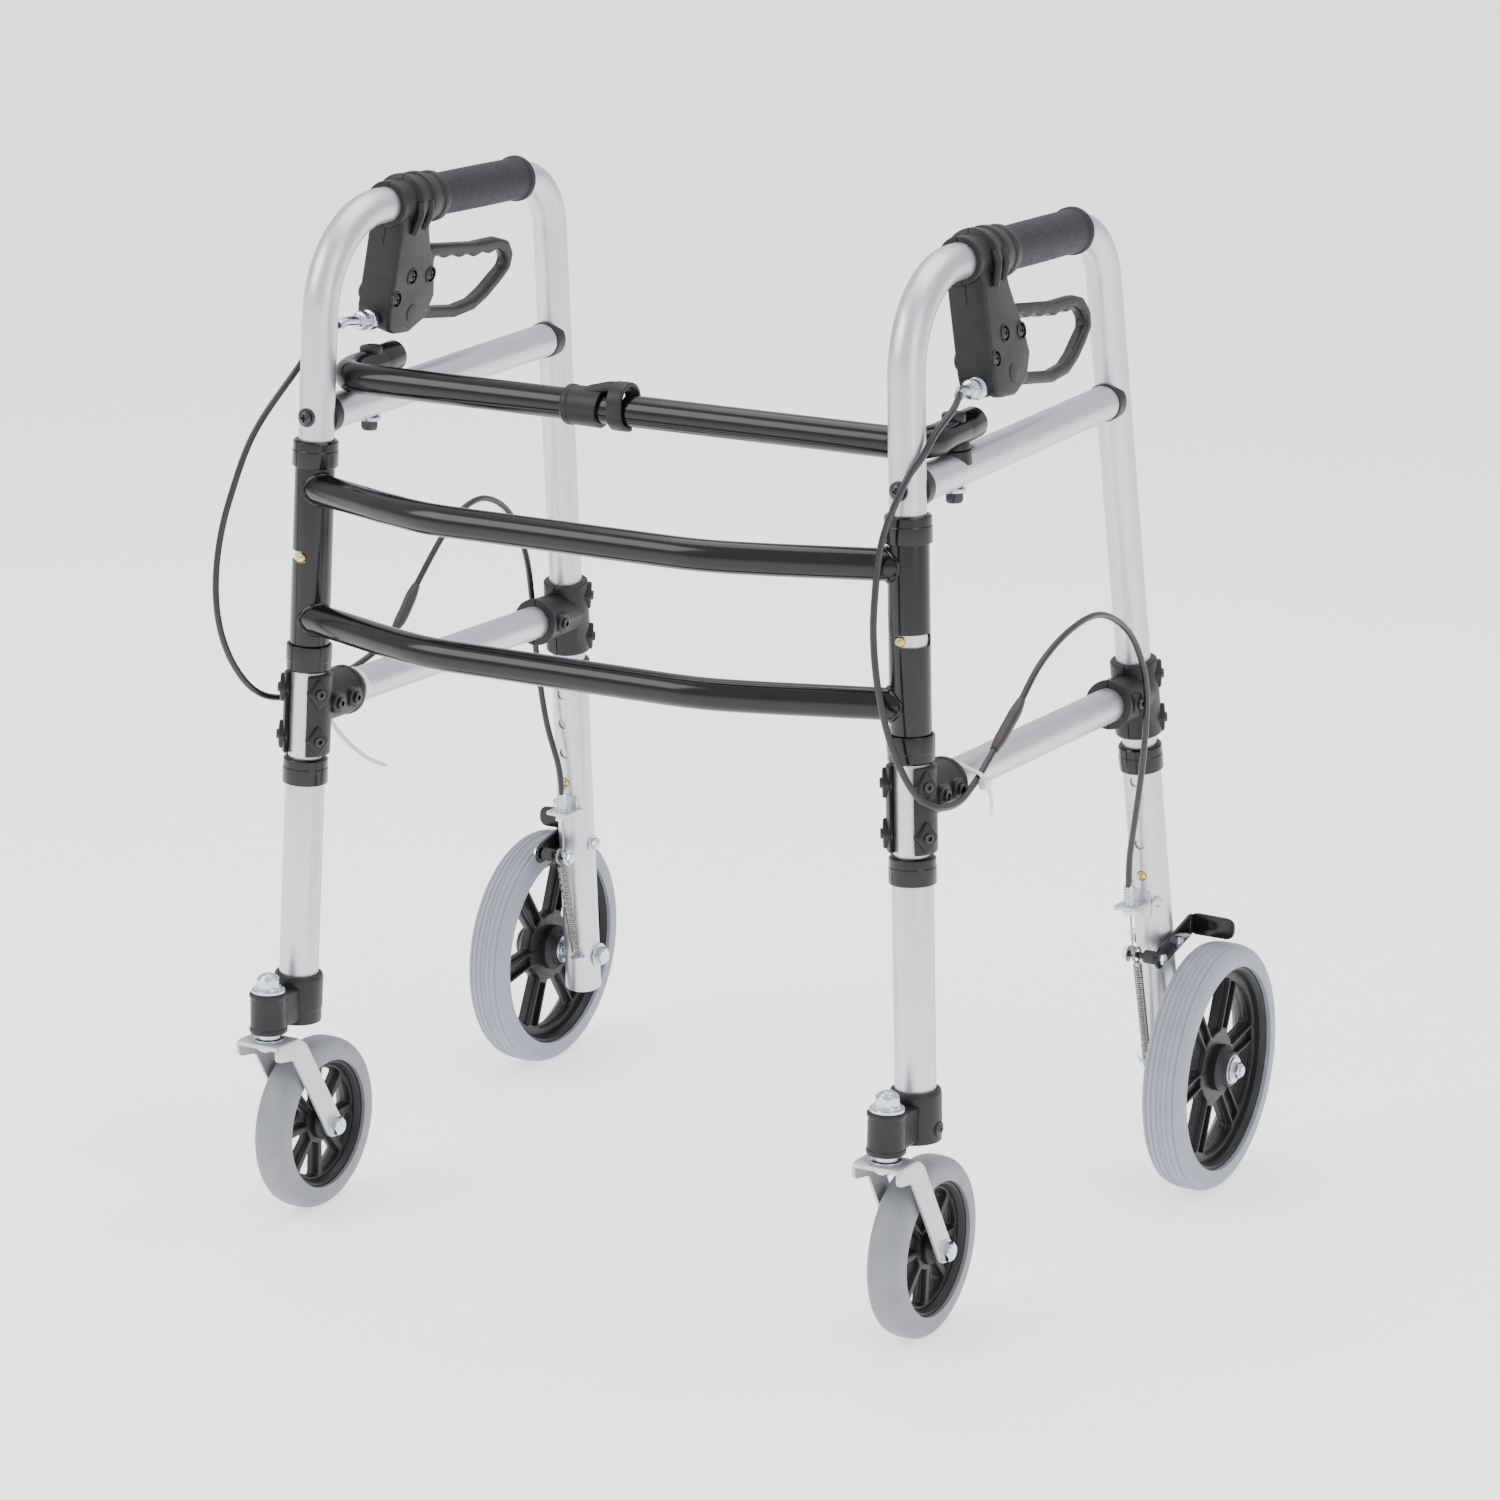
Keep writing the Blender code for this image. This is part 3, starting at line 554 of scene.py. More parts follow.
def hexagon(across, height, at, dome=0.0):
    """A hexagon head or nut with chamfered corners, and a raised middle if it has a dome."""
    corner = across / math.sqrt(3)
    head = lathe([(corner, 0), (corner, height)], steps=6)
    chamfer = height * 0.22
    limit = turned(
        [(0, -0.001), (corner * 1.1, -0.001), (corner * 1.1, height - chamfer * 2.2),
         (across * 0.44, height), (0, height)], radius=0.0001, steps=32,
    )
    made = carved(head, "INTERSECT", limit)
    if dome:
        made = merged(made, lathe(
            [(across * 0.4 * math.cos(a), height * 0.9 + dome * math.sin(a))
             for a in (0, 0.4, 0.8, 1.2, 1.5)], steps=24,
        ))
    made.transform(at)
    return made


def washer(outer, thickness, at):
    return turned([(0, 0), (outer, 0), (outer, thickness), (0, thickness)], at, 0.0003, 32)


def cross_screw(radius, height, at):
    """A pan head with a cross recess."""
    head = turned(
        [(0, 0), (radius, 0), (radius, height * 0.55), (radius * 0.55, height), (0, height)],
        radius=0.0006, steps=24,
    )
    arm = radius * 0.55
    slot = radius * 0.13
    floor = height * 0.45
    head = carved(
        head, "DIFFERENCE",
        block((-arm, -slot, floor), (arm, slot, height * 2), 0),
        block((-slot, -arm, floor), (slot, arm, height * 2), 0),
    )
    head.transform(at)
    return head


# Edges with a greater angle than this stay sharp
SHARP = math.radians(35)


def piece(name, mesh, body, finish):
    made = bpy.data.objects.new(name, mesh)
    bpy.context.scene.collection.objects.link(made)
    mesh.materials.clear()
    mesh.materials.append(finish.material)
    mesh.shade_smooth()
    mesh.set_sharp_from_angle(angle=SHARP)
    if body:
        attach(made, body)
    return made


def pair(name, mesh, body, finish, at=SIDE, stands_for=()):
    """A piece on the right-hand side, and its mirror twin on the left-hand side."""
    for side, flip in SIDES:
        owner = body if body == "front_frame" else f"{side}_{body}"
        made = piece(f"{side}_{name}", moved(mesh, flip @ at), owner, finish)
        if stands_for:
            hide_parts(*[f"{side}_{node}" for node in stands_for])
    bpy.data.meshes.remove(mesh)


# Tubes of the frame ---------------------------------------------------------------------

def rear_leg_y(z):
    return REAR_FOOT_Y - z * math.tan(REAR_RAKE)


def arc(centre, radius, start_degrees, end_degrees, count=16):
    """Points (y, z) on an arc, both ends included."""
    angles = [
        math.radians(start_degrees + (end_degrees - start_degrees) * i / count)
        for i in range(count + 1)
    ]
    return [(centre[0] + radius * math.cos(a), centre[1] + radius * math.sin(a)) for a in angles]


def side_tube():
    tangent = REAR_BEND * math.tan((math.pi / 2 - REAR_RAKE) / 2)
    rear_centre = (rear_leg_y(TOP_Z) - tangent, TOP_Z - REAR_BEND)
    line = [(0, UPPER_TUBE_END_Z)]
    line += arc((FRONT_BEND, TOP_Z - FRONT_BEND), FRONT_BEND, 180, 90)
    line += arc(rear_centre, REAR_BEND, 90, math.degrees(REAR_RAKE))
    line += [(rear_leg_y(UPPER_TUBE_END_Z), UPPER_TUBE_END_Z)]
    tube = sweep([(0, y, z) for y, z in line], UPPER_RADIUS)
    pair("side_tube_skin", tube, "side", ALUMINIUM, stands_for=["side_tube"])


def rail_point(y):
    """A point on the upper rail's axis, which climbs to the rear."""
    return Vector((0, y, UPPER_RAIL_Z + RAIL_SLOPE * y))


def rail_rear():
    """How far back the upper rail's axis meets the rear leg's."""
    return rear_leg_y(UPPER_RAIL_Z) / (1 + RAIL_SLOPE * math.tan(REAR_RAKE))


def rail_cup(y, direction, reach):
    """A dark moulded saddle between a rail's end and the leg tube, curved to fit both."""
    length = UPPER_RADIUS + reach - 0.006
    at = towards(rail_point(y + direction * 0.006), direction * Vector((0, 1, RAIL_SLOPE)))
    return turned(
        [(0, 0), (0.0137, 0), (0.0137, length), (UPPER_RADIUS, length + 0.0004), (0, length)],
        at, 0.0004,
    )


def rails():
    front = UPPER_RADIUS * 0.5
    rear = rail_rear()
    upper = rod(rail_point(front), rail_point(rear - front), UPPER_RADIUS)
    pair("upper_rail_skin", upper, "side", ALUMINIUM, stands_for=["upper_rail"])
    front_y = UPPER_RADIUS + 0.0045
    rear_y = rear_leg_y(LOWER_RAIL_Z) - front_y
    lower = rod((0, front_y, LOWER_RAIL_Z), (0, rear_y, LOWER_RAIL_Z), UPPER_RADIUS)
    pair("lower_rail_skin", lower, "side", ALUMINIUM, stands_for=["lower_rail"])
    leg = sweep([(0, 0, UPPER_RAIL_Z - 0.05), (0, 0, UPPER_RAIL_Z + 0.05)], UPPER_RADIUS)
    back_leg = rod(
        (0, rear_leg_y(UPPER_RAIL_Z - 0.04), UPPER_RAIL_Z - 0.04),
        (0, rear_leg_y(UPPER_RAIL_Z + 0.06), UPPER_RAIL_Z + 0.06), UPPER_RADIUS,
    )
    front_cup = carved(rail_cup(0, 1, 0.0022), "DIFFERENCE", leg)
    rear_cup = carved(rail_cup(rear, -1, 0.004), "DIFFERENCE", back_leg)
    pair("rail_saddle_cups", merged(front_cup, rear_cup), "side", PLASTIC)


def crossbar_saddle():
    """The moulded neck on the rail, its nut below, and the cradle that turns with the cross bar."""
    centre = rail_point(CROSSBAR_PIVOT_Y).z
    under = centre - UPPER_RADIUS
    crown = centre + UPPER_RADIUS + 0.003
    neck = turned(
        [(0, centre + 0.004), (0.0125, centre + 0.004), (0.0116, crown), (0, crown)],
        Matrix.Translation((0, CROSSBAR_PIVOT_Y, 0)), 0.0005,
    )
    rail = rod(rail_point(0.02), rail_point(0.12), UPPER_RADIUS)
    above = block((-0.03, -0.03, -BAR_RADIUS - 0.0007), (0.03, 0.03, 0.03), 0)
    above.transform(SIDE.inverted() @ CROSSBAR)
    neck = carved(neck, "DIFFERENCE", rail, above)
    pair("crossbar_saddle", neck, "side", PLASTIC)
    cradle = turned(
        [(0, -0.0004), (0.0108, -0.0004), (0.0115, 0.0004), (0.011, 0.003), (0.0098, 0.0052),
         (0, 0.0052)],
        raised(-BAR_RADIUS), 0.0003,
    )
    cradle = carved(cradle, "DIFFERENCE", rod((0, -0.03, 0), (0, 0.03, 0), BAR_RADIUS))
    pair("crossbar_cradle", cradle, "crossbar", PLASTIC, CROSSBAR)
    at = towards((0, CROSSBAR_PIVOT_Y, under + 0.0004), (0, 0, -1))
    pair("saddle_washer", washer(0.0085, 0.0026, at), "side", ZINC)
    nut = hexagon(0.0116, 0.0078, at @ raised(0.0022), dome=0.0008)
    pair("saddle_nut", nut, "side", DARK_STEEL)


def leg_screws():
    """The screws through the front leg into the upper rail, and through the rear leg."""
    front = towards((0, -UPPER_RADIUS + 0.0006, UPPER_RAIL_Z + 0.0015), (0, -1, 0))
    outward = Vector((0, math.cos(REAR_RAKE), math.sin(REAR_RAKE)))
    rear = towards(rail_point(rail_rear()) + outward * (UPPER_RADIUS - 0.0006), outward)
    heads = []
    for at in (front, rear):
        heads.append(washer(0.0068, 0.0016, at))
        heads.append(cross_screw(0.005, 0.0032, at @ raised(0.0013)))
    pair("rail_screws", merged(*heads), "side", DARK_STEEL)


def clamp_boss(at, pointed):
    """A raised boss on a clamp, round or diamond shaped."""
    if not pointed:
        return turned([(0, -0.004), (0.0083, -0.004), (0.008, 0.0022), (0, 0.0024)], at,
                      0.0007, 32)
    loop = rounded_loop([(0, 0.0125), (0.0085, 0), (0, -0.0125), (-0.0085, 0)], 0.003)
    rings = [
        [at @ Vector((point.x * size, point.y * size, height)) for point in loop]
        for size, height in ((1, -0.004), (1, 0.0018), (0.88, 0.0026))
    ]
    return mesh_from(lambda shape: skin(shape, rings))


def socket_bolt(at, radius):
    height = 0.0028
    head = turned(
        [(0, 0), (radius, 0), (radius, height), (0, height)], radius=0.0005, steps=28
    )
    key = lathe([(radius * 0.52, height * 0.35), (radius * 0.52, height * 2)], steps=6)
    head = carved(head, "DIFFERENCE", key)
    head.transform(at)
    return head


def clamp_bosses(spots):
    """The bosses on a clamp's two cheeks, and the socket bolt in each.

    A spot is (y, z, lean): a boss that leans to the front or rear is a diamond, others are round.
    """
    bosses, bolts = [], []
    for x in (1, -1):
        for y, z, lean in spots:
            outward = Vector((x, lean, 0)).normalized()
            at = towards(Vector((0, y, z)) + outward * CLAMP_RADIUS * 0.985, outward)
            bosses.append(clamp_boss(at, lean != 0))
            bolts.append(socket_bolt(at @ raised(0.0016), 0.0036 if lean else 0.0042))
    return bosses, merged(*bolts)


def clamp_socket(y, direction):
    """The part of a clamp that grips the lower rail, from the leg's axis outwards."""
    lip = CLAMP_RADIUS + 0.0009
    return turned(
        [(0, 0), (CLAMP_RADIUS, 0), (CLAMP_RADIUS, 0.044), (lip, 0.0445), (lip, 0.0485),
         (0, 0.0485)],
        towards((0, y, LOWER_RAIL_Z), (0, direction, 0)), 0.0009,
    )


def clamp_shell(low, high, at=IDENTITY):
    """The part of a clamp that grips the leg."""
    return turned([(0, low), (CLAMP_RADIUS, low), (CLAMP_RADIUS, high), (0, high)], at, 0.0018)


def front_clamp():
    bore = UPPER_RADIUS + 0.0002
    shell = carved(
        clamp_shell(0.35, 0.41), "UNION", clamp_socket(0, 1),
        block((-0.0045, 0, 0.3525), (0.0045, 0.0235, 0.4075), 0.001),
    )
    shell = carved(
        shell, "DIFFERENCE",
        rod((0, 0, 0.34), (0, 0, 0.42), bore),
        rod((0, 0.015, LOWER_RAIL_Z), (0, 0.06, LOWER_RAIL_Z), bore),
        block((-0.0092, -0.02, 0.34), (0.0092, 0, 0.42), 0),
        block((-0.0004, 0.012, 0.34), (0.0004, 0.0495, 0.42), 0),
    )
    bosses, bolts = clamp_bosses([
        (0.0345, LOWER_RAIL_Z, 0), (0.0135, LOWER_RAIL_Z, 0), (0, 0.3975, -CHEEK_LEAN),
        (0, 0.3625, -CHEEK_LEAN),
    ])
    pair("front_clamp_shells", merged(shell, *bosses), "side", PLASTIC,
         stands_for=["front_clamp"])
    pair("front_clamp_bolts", bolts, "side", DARK_STEEL)


def rear_clamp():
    bore = UPPER_RADIUS + 0.0002
    leg_y = rear_leg_y(LOWER_RAIL_Z)
    low, high = up_leg(0.356), up_leg(0.413)
    into_side = SIDE.inverted() @ REAR
    shell = carved(clamp_shell(low, high, into_side), "UNION", clamp_socket(leg_y, -1))
    shell = carved(
        shell, "DIFFERENCE",
        moved(rod((0, 0, low - 0.01), (0, 0, high + 0.01), bore), into_side),
        rod((0, leg_y - 0.06, LOWER_RAIL_Z), (0, leg_y - 0.015, LOWER_RAIL_Z), bore),
        block((-0.0004, leg_y - 0.05, 0.34), (0.0004, leg_y + 0.04, 0.43), 0),
    )
    bosses, bolts = clamp_bosses([
        (leg_y - 0.0345, LOWER_RAIL_Z, 0), (rear_leg_y(0.4015), 0.4015, CHEEK_LEAN),
        (rear_leg_y(0.3675), 0.3675, CHEEK_LEAN),
    ])
    pair("rear_clamp_shells", merged(shell, *bosses), "side", PLASTIC,
         stands_for=["rear_clamp"])
    pair("rear_clamp_bolts", bolts, "side", DARK_STEEL)


def collar(base, top, node, body, at=SIDE, flip=False):
    """A gloss collar: a skirt over the wider tube and a lip that closes on the inner one."""
    height = top - base
    profile = [
        (0.0148, 0), (COLLAR_RADIUS, 0), (COLLAR_RADIUS, 0.0115), (COLLAR_RADIUS - 0.0003, 0.0122),
        (COLLAR_RADIUS - 0.0003, height - 0.0015), (COLLAR_RADIUS - 0.0018, height),
        (UPPER_RADIUS + 0.0005, height), (UPPER_RADIUS + 0.0005, height - 0.004),
        (0.0148, height - 0.004),
    ]
    if flip:
        place = Matrix.Translation((0, 0, top)) @ Matrix.Diagonal((1, 1, -1, 1))
    else:
        place = Matrix.Translation((0, 0, base))
    ring = turned(profile, radius=0.0007, closed=True)
    ring = moved(ring, place)
    pair(f"{node}_moulding", ring, body, GLOSS, at, [node])


def lower_tube(bottom, top, hole_face, name, body, at, heights):
    """A lower leg tube with its row of adjustment holes punched through one wall."""
    wall = 0.0011
    tube = turned(
        [(LOWER_RADIUS, bottom), (LOWER_RADIUS, top), (LOWER_RADIUS - wall, top),
         (LOWER_RADIUS - wall, bottom)], radius=0.0003, closed=True,
    )
    punches = [
        rod((0, hole_face * 0.006, height), (0, hole_face * 0.022, height), 0.004, 24)
        for height in heights
    ]
    tube = carved(tube, "DIFFERENCE", merged(*punches))
    pair(f"{name}_skin", tube, body, ALUMINIUM, at, [name])


def legs():
    front_holes = [BUTTON_Z + i * HOLE_PITCH for i in range(4)]
    lower_tube(0.152, LOWER_TUBE_TOP_Z, 1, "front_lower_tube", "front_leg", SIDE, front_holes)
    rear_holes = [up_leg(BUTTON_Z) + i * HOLE_PITCH for i in range(4)]
    lower_tube(
        up_leg(0.066), up_leg(LOWER_TUBE_TOP_Z), -1, "rear_lower_tube", "rear_leg", REAR,
        rear_holes,
    )
    collar(0.3282, 0.3475, "front_leg_collar", "front_leg")
    collar(up_leg(0.3285), up_leg(0.3478), "rear_leg_collar", "rear_leg", REAR)
    plug = turned(
        [(0, 0), (0.013, 0), (0.013, 0.004), (0, 0.004)],
        Matrix.Translation((0, 0, up_leg(0.068))), 0.0006,
    )
    pair("rear_leg_plug", plug, "rear_leg", PLASTIC, REAR)


def button(name, at):
    tip = 0.0165
    dome = [(0.0036 * math.cos(a), tip - 0.0026 + 0.0026 * math.sin(a))
            for a in (0, 0.35, 0.7, 1.05, 1.3, 1.5)]
    pin = lathe([(0.0036, 0.0066)] + dome, steps=28)
    pair(f"{name}_pin", moved(pin, at), name, BRASS, SIDE, [name])


def buttons():
    button("front_button", towards((0, 0, BUTTON_Z), (0, 1, 0)))
    button("sleeve_button", towards((0, 0, SLEEVE_BUTTON_Z), (0, -1, 0)))
    normal = (0, -math.cos(REAR_RAKE), -math.sin(REAR_RAKE))
    button("rear_button", towards((0, rear_leg_y(BUTTON_Z), BUTTON_Z), normal))


def sleeves():
    inner = UPPER_RADIUS + 0.0004
    tube = turned(
        [(LOWER_RADIUS, SLEEVE_LOW_Z), (LOWER_RADIUS, SLEEVE_HIGH_Z), (inner, SLEEVE_HIGH_Z),
         (inner, SLEEVE_LOW_Z)], radius=0.0003, closed=True,
    )
    slot_z = 0.0042
    slot = block((0, -0.02, SLEEVE_BUTTON_Z - slot_z), (0.02, 0, SLEEVE_BUTTON_Z + slot_z), 0)
    ends = [
        rod((0, -0.022, SLEEVE_BUTTON_Z), (0, -0.006, SLEEVE_BUTTON_Z), slot_z, 24),
        rod((0.022, 0, SLEEVE_BUTTON_Z), (0.006, 0, SLEEVE_BUTTON_Z), slot_z, 24),
    ]
    tube = carved(tube, "DIFFERENCE", slot, *ends)
    pair("sleeve_skin", tube, "front_frame", GLOSS, stands_for=["sleeve"])
    collar(0.5609, 0.5802, "sleeve_top_collar", "front_frame")
    collar(0.4117, 0.431, "sleeve_bottom_collar", "front_frame", flip=True)


def front_bars():
    """The two bowed bars, coped and welded to the inner sides of the sleeves."""
    sleeve_x = SIDE.translation.x
    slope = math.tan(LEAN)
    for name, z in BAR_HEIGHTS.items():
        end_x = sleeve_x - z * slope
        end_y = SIDE.translation.y - 0.004
        half = [
            (end_x - 0.004, end_y), (BAR_FLAT_X + 0.045, end_y - BAR_BOW * 0.66),
            (BAR_FLAT_X - 0.002, end_y - BAR_BOW),
        ]
        corners = [(x, y, z) for x, y in half] + [(-x, y, z) for x, y in reversed(half)]
        bar = sweep(rounded(corners, 0.16, 10), BAR_RADIUS)
        beads = []
        for side in (1, -1):
            low = Vector((side * (sleeve_x - (z - 0.03) * slope), SIDE.translation.y, z - 0.03))
            high = Vector((side * (sleeve_x - (z + 0.03) * slope), SIDE.translation.y, z + 0.03))
            bar = carved(bar, "DIFFERENCE", rod(low, high, LOWER_RADIUS - 0.0005))
            start = Vector(corners[0])
            start.x *= side
            inward = Vector(corners[1])
            inward.x *= side
            beads.append(weld_bead(start, inward - start, low, high))
        made = piece(f"{name}_skin", merged(bar, *beads), "front_frame", GLOSS)
        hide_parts(name)


def weld_bead(start, direction, low, high):
    """A bead round a bar where it meets a sleeve: the line that lies on both tubes."""
    along = direction.normalized()
    across = along.orthogonal().normalized()
    other = along.cross(across)
    axis = (high - low).normalized()
    ring = []
    for k in range(40):
        angle = math.tau * k / 40
        point = start + (across * math.cos(angle) + other * math.sin(angle)) * BAR_RADIUS
        reach = 0.0
        for _ in range(30):
            spot = point + along * reach - low
            away = (spot - axis * spot.dot(axis)).length
            reach += (LOWER_RADIUS - away) * 0.8
        wobble = 0.00025 * math.sin(angle * 11)
        ring.append(point + along * (reach + wobble))
    return sweep(ring, 0.0017, 10, closed=True)


def crossbar():
    """The two bent halves of the cross bar, open at their outer ends, with pivot bolts."""
    reach = 0.005 - CROSSBAR.translation.x
    arm_y = -CROSSBAR_REACH
    open_y = CROSSBAR_TAIL
    depth = 0.022
    corners = [(0, open_y - depth, 0), (0, arm_y, 0), (reach, arm_y, 0)]
    half = sweep(rounded(corners, 0.03, 14), BAR_RADIUS)
    mouth = turned(
        [(BAR_RADIUS, 0), (BAR_RADIUS, depth), (BAR_RADIUS - 0.0014, depth),
         (BAR_RADIUS - 0.0014, 0.001)],
        towards((0, open_y - depth, 0), (0, 1, 0)), 0.0003, closed=True,
    )
    pair("crossbar_half_skin", merged(half, mouth), "crossbar", GLOSS, CROSSBAR,
         ["crossbar_half"])
    cap = turned(
        [(0, 0.0045), (0.0082, 0.0045), (0.0084, 0.0112), (0.0078, 0.0128), (0.005, 0.0136),
         (0.0026, 0.0136), (0.0022, 0.0128), (0, 0.0128)],
        radius=0.0005, steps=36,
    )
    pair("crossbar_bolt_cap", cap, "crossbar", PLASTIC, CROSSBAR)


def latch_clip():
    """The moulded snap clip: a sleeve on the left half, a bridge on top, and a hook to the right."""
    (left, low_y, low_z), (right, high_y, high_z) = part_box("latch_clip")
    y = (low_y + high_y) / 2
    z = (low_z + high_z) / 2
    outer = 0.0146
    bore = BAR_RADIUS + 0.0001
    mouth = -0.0105
    body = turned(
        [(bore, left), (outer - 0.001, left), (outer - 0.0002, left + 0.0015),
         (outer - 0.0002, left + 0.0045), (outer - 0.0009, left + 0.0055),
         (outer - 0.0003, mouth - 0.0013), (outer - 0.001, mouth), (bore + 0.0008, mouth),
         (bore, mouth - 0.006)],
        facing(0, y, z, 1), 0.0006, closed=True,
    )
    slant = block((0, -0.03, -0.03), (0.03, 0.03, 0.03), 0)
    slant.transform(Matrix.Translation((-0.0135, y, z)) @ Matrix.Rotation(0.13, 4, "Y"))
    body = carved(body, "DIFFERENCE", slant)
    # The hook is an upright oval ring that is open at the back.
    ring_top = 0.0052
    ring_left, ring_right = -0.0042, right - 0.0008
    loops = [
        arc((0, ring_top), radius, 0, 180, 24) + arc((0, 0), radius, 180, 360, 24)
        for radius in (outer, bore + 0.0004)
    ]
    hook = plate(loops, ring_left, ring_right, 0.0009, 2)
    hook.transform(Matrix.Translation((0, y, z)))
    opening = block((-0.002, y + 0.002, z - 0.03), (0.04, y + 0.03, z + 0.0035), 0)
    hook = carved(hook, "DIFFERENCE", opening)
    roof = z + outer + ring_top
    crest = rounded(
        [(left + 0.017, z + outer - 0.0028), (-0.01, z + outer + 0.0012), (0.001, roof - 0.003),
         (ring_right - 0.003, roof - 0.0028)], 0.012, 4,
    )
    bridge = sweep([(point.x, y, point.y) for point in crest], 0.0032, 20)
    shoulders = [
        sweep([(point.x, y + side * 0.0045, point.y - 0.001) for point in crest], 0.003, 20)
        for side in (-1, 1)
    ]
    lip_y, lip_z = y + 0.014, z + 0.0042
    lip = sweep([(ring_left + 0.0012, lip_y, lip_z), (ring_right - 0.0012, lip_y, lip_z)],
                0.0017, 16)
    clip = merged(body, hook, bridge, *shoulders, lip)
    made = piece("latch_clip_moulding", clip, "left_crossbar", PLASTIC)
    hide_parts("latch_clip")


# Handles ----------------------------------------------------------------------------------

def hand_grip():
    front, rear = 0.1385, 0.256
    bore = UPPER_RADIUS + 0.0001
    profile = [
        (bore, front), (0.0146, front), (0.0153, front + 0.003), (0.0156, front + 0.03),
        (0.0157, front + 0.07), (0.0155, rear - 0.01), (0.0158, rear - 0.0065),
        (0.0169, rear - 0.0052), (0.0171, rear - 0.0035), (0.0171, rear - 0.0012),
        (0.016, rear), (bore, rear),
    ]
    at = towards((0, 0, TOP_Z), (0, 1, 0))
    grip = turned(profile, at, 0.0008, 56, closed=True)
    pair("hand_grip_moulding", grip, "side", GRIP, stands_for=["hand_grip"])


HOUSING = [
    (0.119, -0.004), (0.083, -0.004), (0.0828, -0.04), (0.0822, -0.078), (0.085, -0.0915),
    (0.093, -0.0948), (0.112, -0.0958), (0.131, -0.088), (0.1405, -0.071), (0.136, -0.053),
    (0.127, -0.035), (0.121, -0.02),
]


def lever_housing():
    half = 0.0143
    shell = plate([outline(HOUSING, 0.006, 3)], -half, half, 0.0026, 3)
    clamp = turned(
        [(0, 0.079), (0.016, 0.079), (0.0168, 0.08), (0.0168, 0.085), (0.0161, 0.0862),
         (0.0168, 0.0965), (0.0202, 0.0975), (0.0202, 0.1035), (0.0188, 0.1045), (0.0186, 0.1125),
         (0.02, 0.1135), (0.02, 0.1195), (0.0184, 0.1205), (0.0174, 0.13), (0.0186, 0.1312),
         (0.0186, 0.1372), (0, 0.138)],
        towards((0, 0, 0), (0, 1, 0)), 0.0005,
    )
    shell = carved(shell, "UNION", clamp)
    screws = [(0.1056, -0.053), (0.13, -0.0545), (0.0887, -0.068)]
    spots = [(x, y, z) for y, z in screws for x in (-1, 1)]
    pockets = [
        rod((x * (half - 0.0016), y, z), (x * (half + 0.01), y, z), 0.0052, 28)
        for x, y, z in spots
    ]
    shell = carved(
        shell, "DIFFERENCE",
        rod((0, 0.05, 0), (0, 0.16, 0), UPPER_RADIUS + 0.0001),
        block((-0.0063, 0.0868, -0.11), (0.0063, 0.2, -0.025), 0),
        block((-0.0003, 0.06, -0.03), (0.0003, 0.15, 0.03), 0),
        merged(*pockets),
    )
    bosses = [
        turned([(0, 0), (0.0068, 0), (0.0068, 0.0011), (0, 0.0011)],
               facing(x * (half - 0.0006), 0.112, -0.081, x), 0.0004)
        for x in (-1, 1)
    ]
    rims = [
        turned([(0.0052, 0), (0.0064, 0), (0.0064, 0.0027), (0.0052, 0.0027)],
               facing(x * (half - 0.002), y, z, x), 0.0004, 28, closed=True)
        for x, y, z in spots
    ]
    pair("lever_housing_shell", merged(shell, *bosses, *rims), "side", PLASTIC, HANDLE,
         ["lever_housing"])
    heads = [
        cross_screw(0.0041, 0.0026, facing(x * (half - 0.0018), y, z, x)) for x, y, z in spots
    ]
    pair("housing_screws", merged(*heads), "side", DARK_STEEL, HANDLE)
    lugs = []
    for x in (-1, 1):
        for y, bottom in ((0.0975, -0.02), (0.1095, -0.017)):
            route = [(x * 0.0172, y, 0.004), (x * 0.019, y, -0.006), (x * 0.015, y, bottom)]
            lugs.append(sweep(rounded(route, 0.012, 5), 0.0031, 20))
    pair("clamp_lugs", merged(*lugs), "side", PLASTIC, HANDLE)


def brake_lever():
    """A closed loop with finger waves along the underside of its upper arm."""
    outer = [
        (0.088, -0.072), (0.0882, -0.06), (0.092, -0.0552), (0.125, -0.041), (0.145, -0.037),
        (0.17, -0.0395), (0.205, -0.0428), (0.236, -0.0428), (0.2515, -0.0465),
        (0.26, -0.057), (0.2585, -0.069), (0.247, -0.0782), (0.232, -0.088),
        (0.215, -0.0955), (0.19, -0.098), (0.15, -0.0935), (0.11, -0.084), (0.09, -0.077),
    ]
    waves = 4
    start, end = 0.1535, 0.237
    top = []
    for i in range(waves * 6 + 1):
        t = i / (waves * 6)
        y = start + (end - start) * t
        z = -0.0462 - 0.0052 * min(1, t * 1.6)
        top.append((y, z - 0.0011 * (1 - math.cos(math.tau * waves * t))))
    inner = [(0.149, -0.0465)] + top + [
        (0.2462, -0.0555), (0.2508, -0.0608), (0.2495, -0.066), (0.241, -0.0712),
        (0.226, -0.081), (0.212, -0.0872), (0.19, -0.0893), (0.151, -0.0848),
    ]
    lever = plate([outline(outer, 0.007), outline(inner, 0.004, 3)], -0.0052, 0.0052, 0.003, 3)
    pair("brake_lever_moulding", lever, "lever", PLASTIC, HANDLE, ["brake_lever"])


# Wheels -----------------------------------------------------------------------------------

def tyre(radius, bore, half, grooves, fullness):
    """A tyre's section turned about X: a full crown with fine grooves round the tread."""
    profile = []
    count = 100
    for i in range(count + 1):
        t = math.pi * i / count
        height = half * math.copysign(abs(math.cos(t)) ** 0.62, math.cos(t))
        crown = bore + (radius - bore) * math.sin(t) ** fullness
        for groove in grooves:
            crown -= 0.0011 * math.exp(-(((height - groove) / 0.00055) ** 2))
        profile.append((crown, height))
    return lathe(profile, ACROSS, 96, closed=True)


# The width of each rib along a spoke
RIB_WIDTH = 0.0024


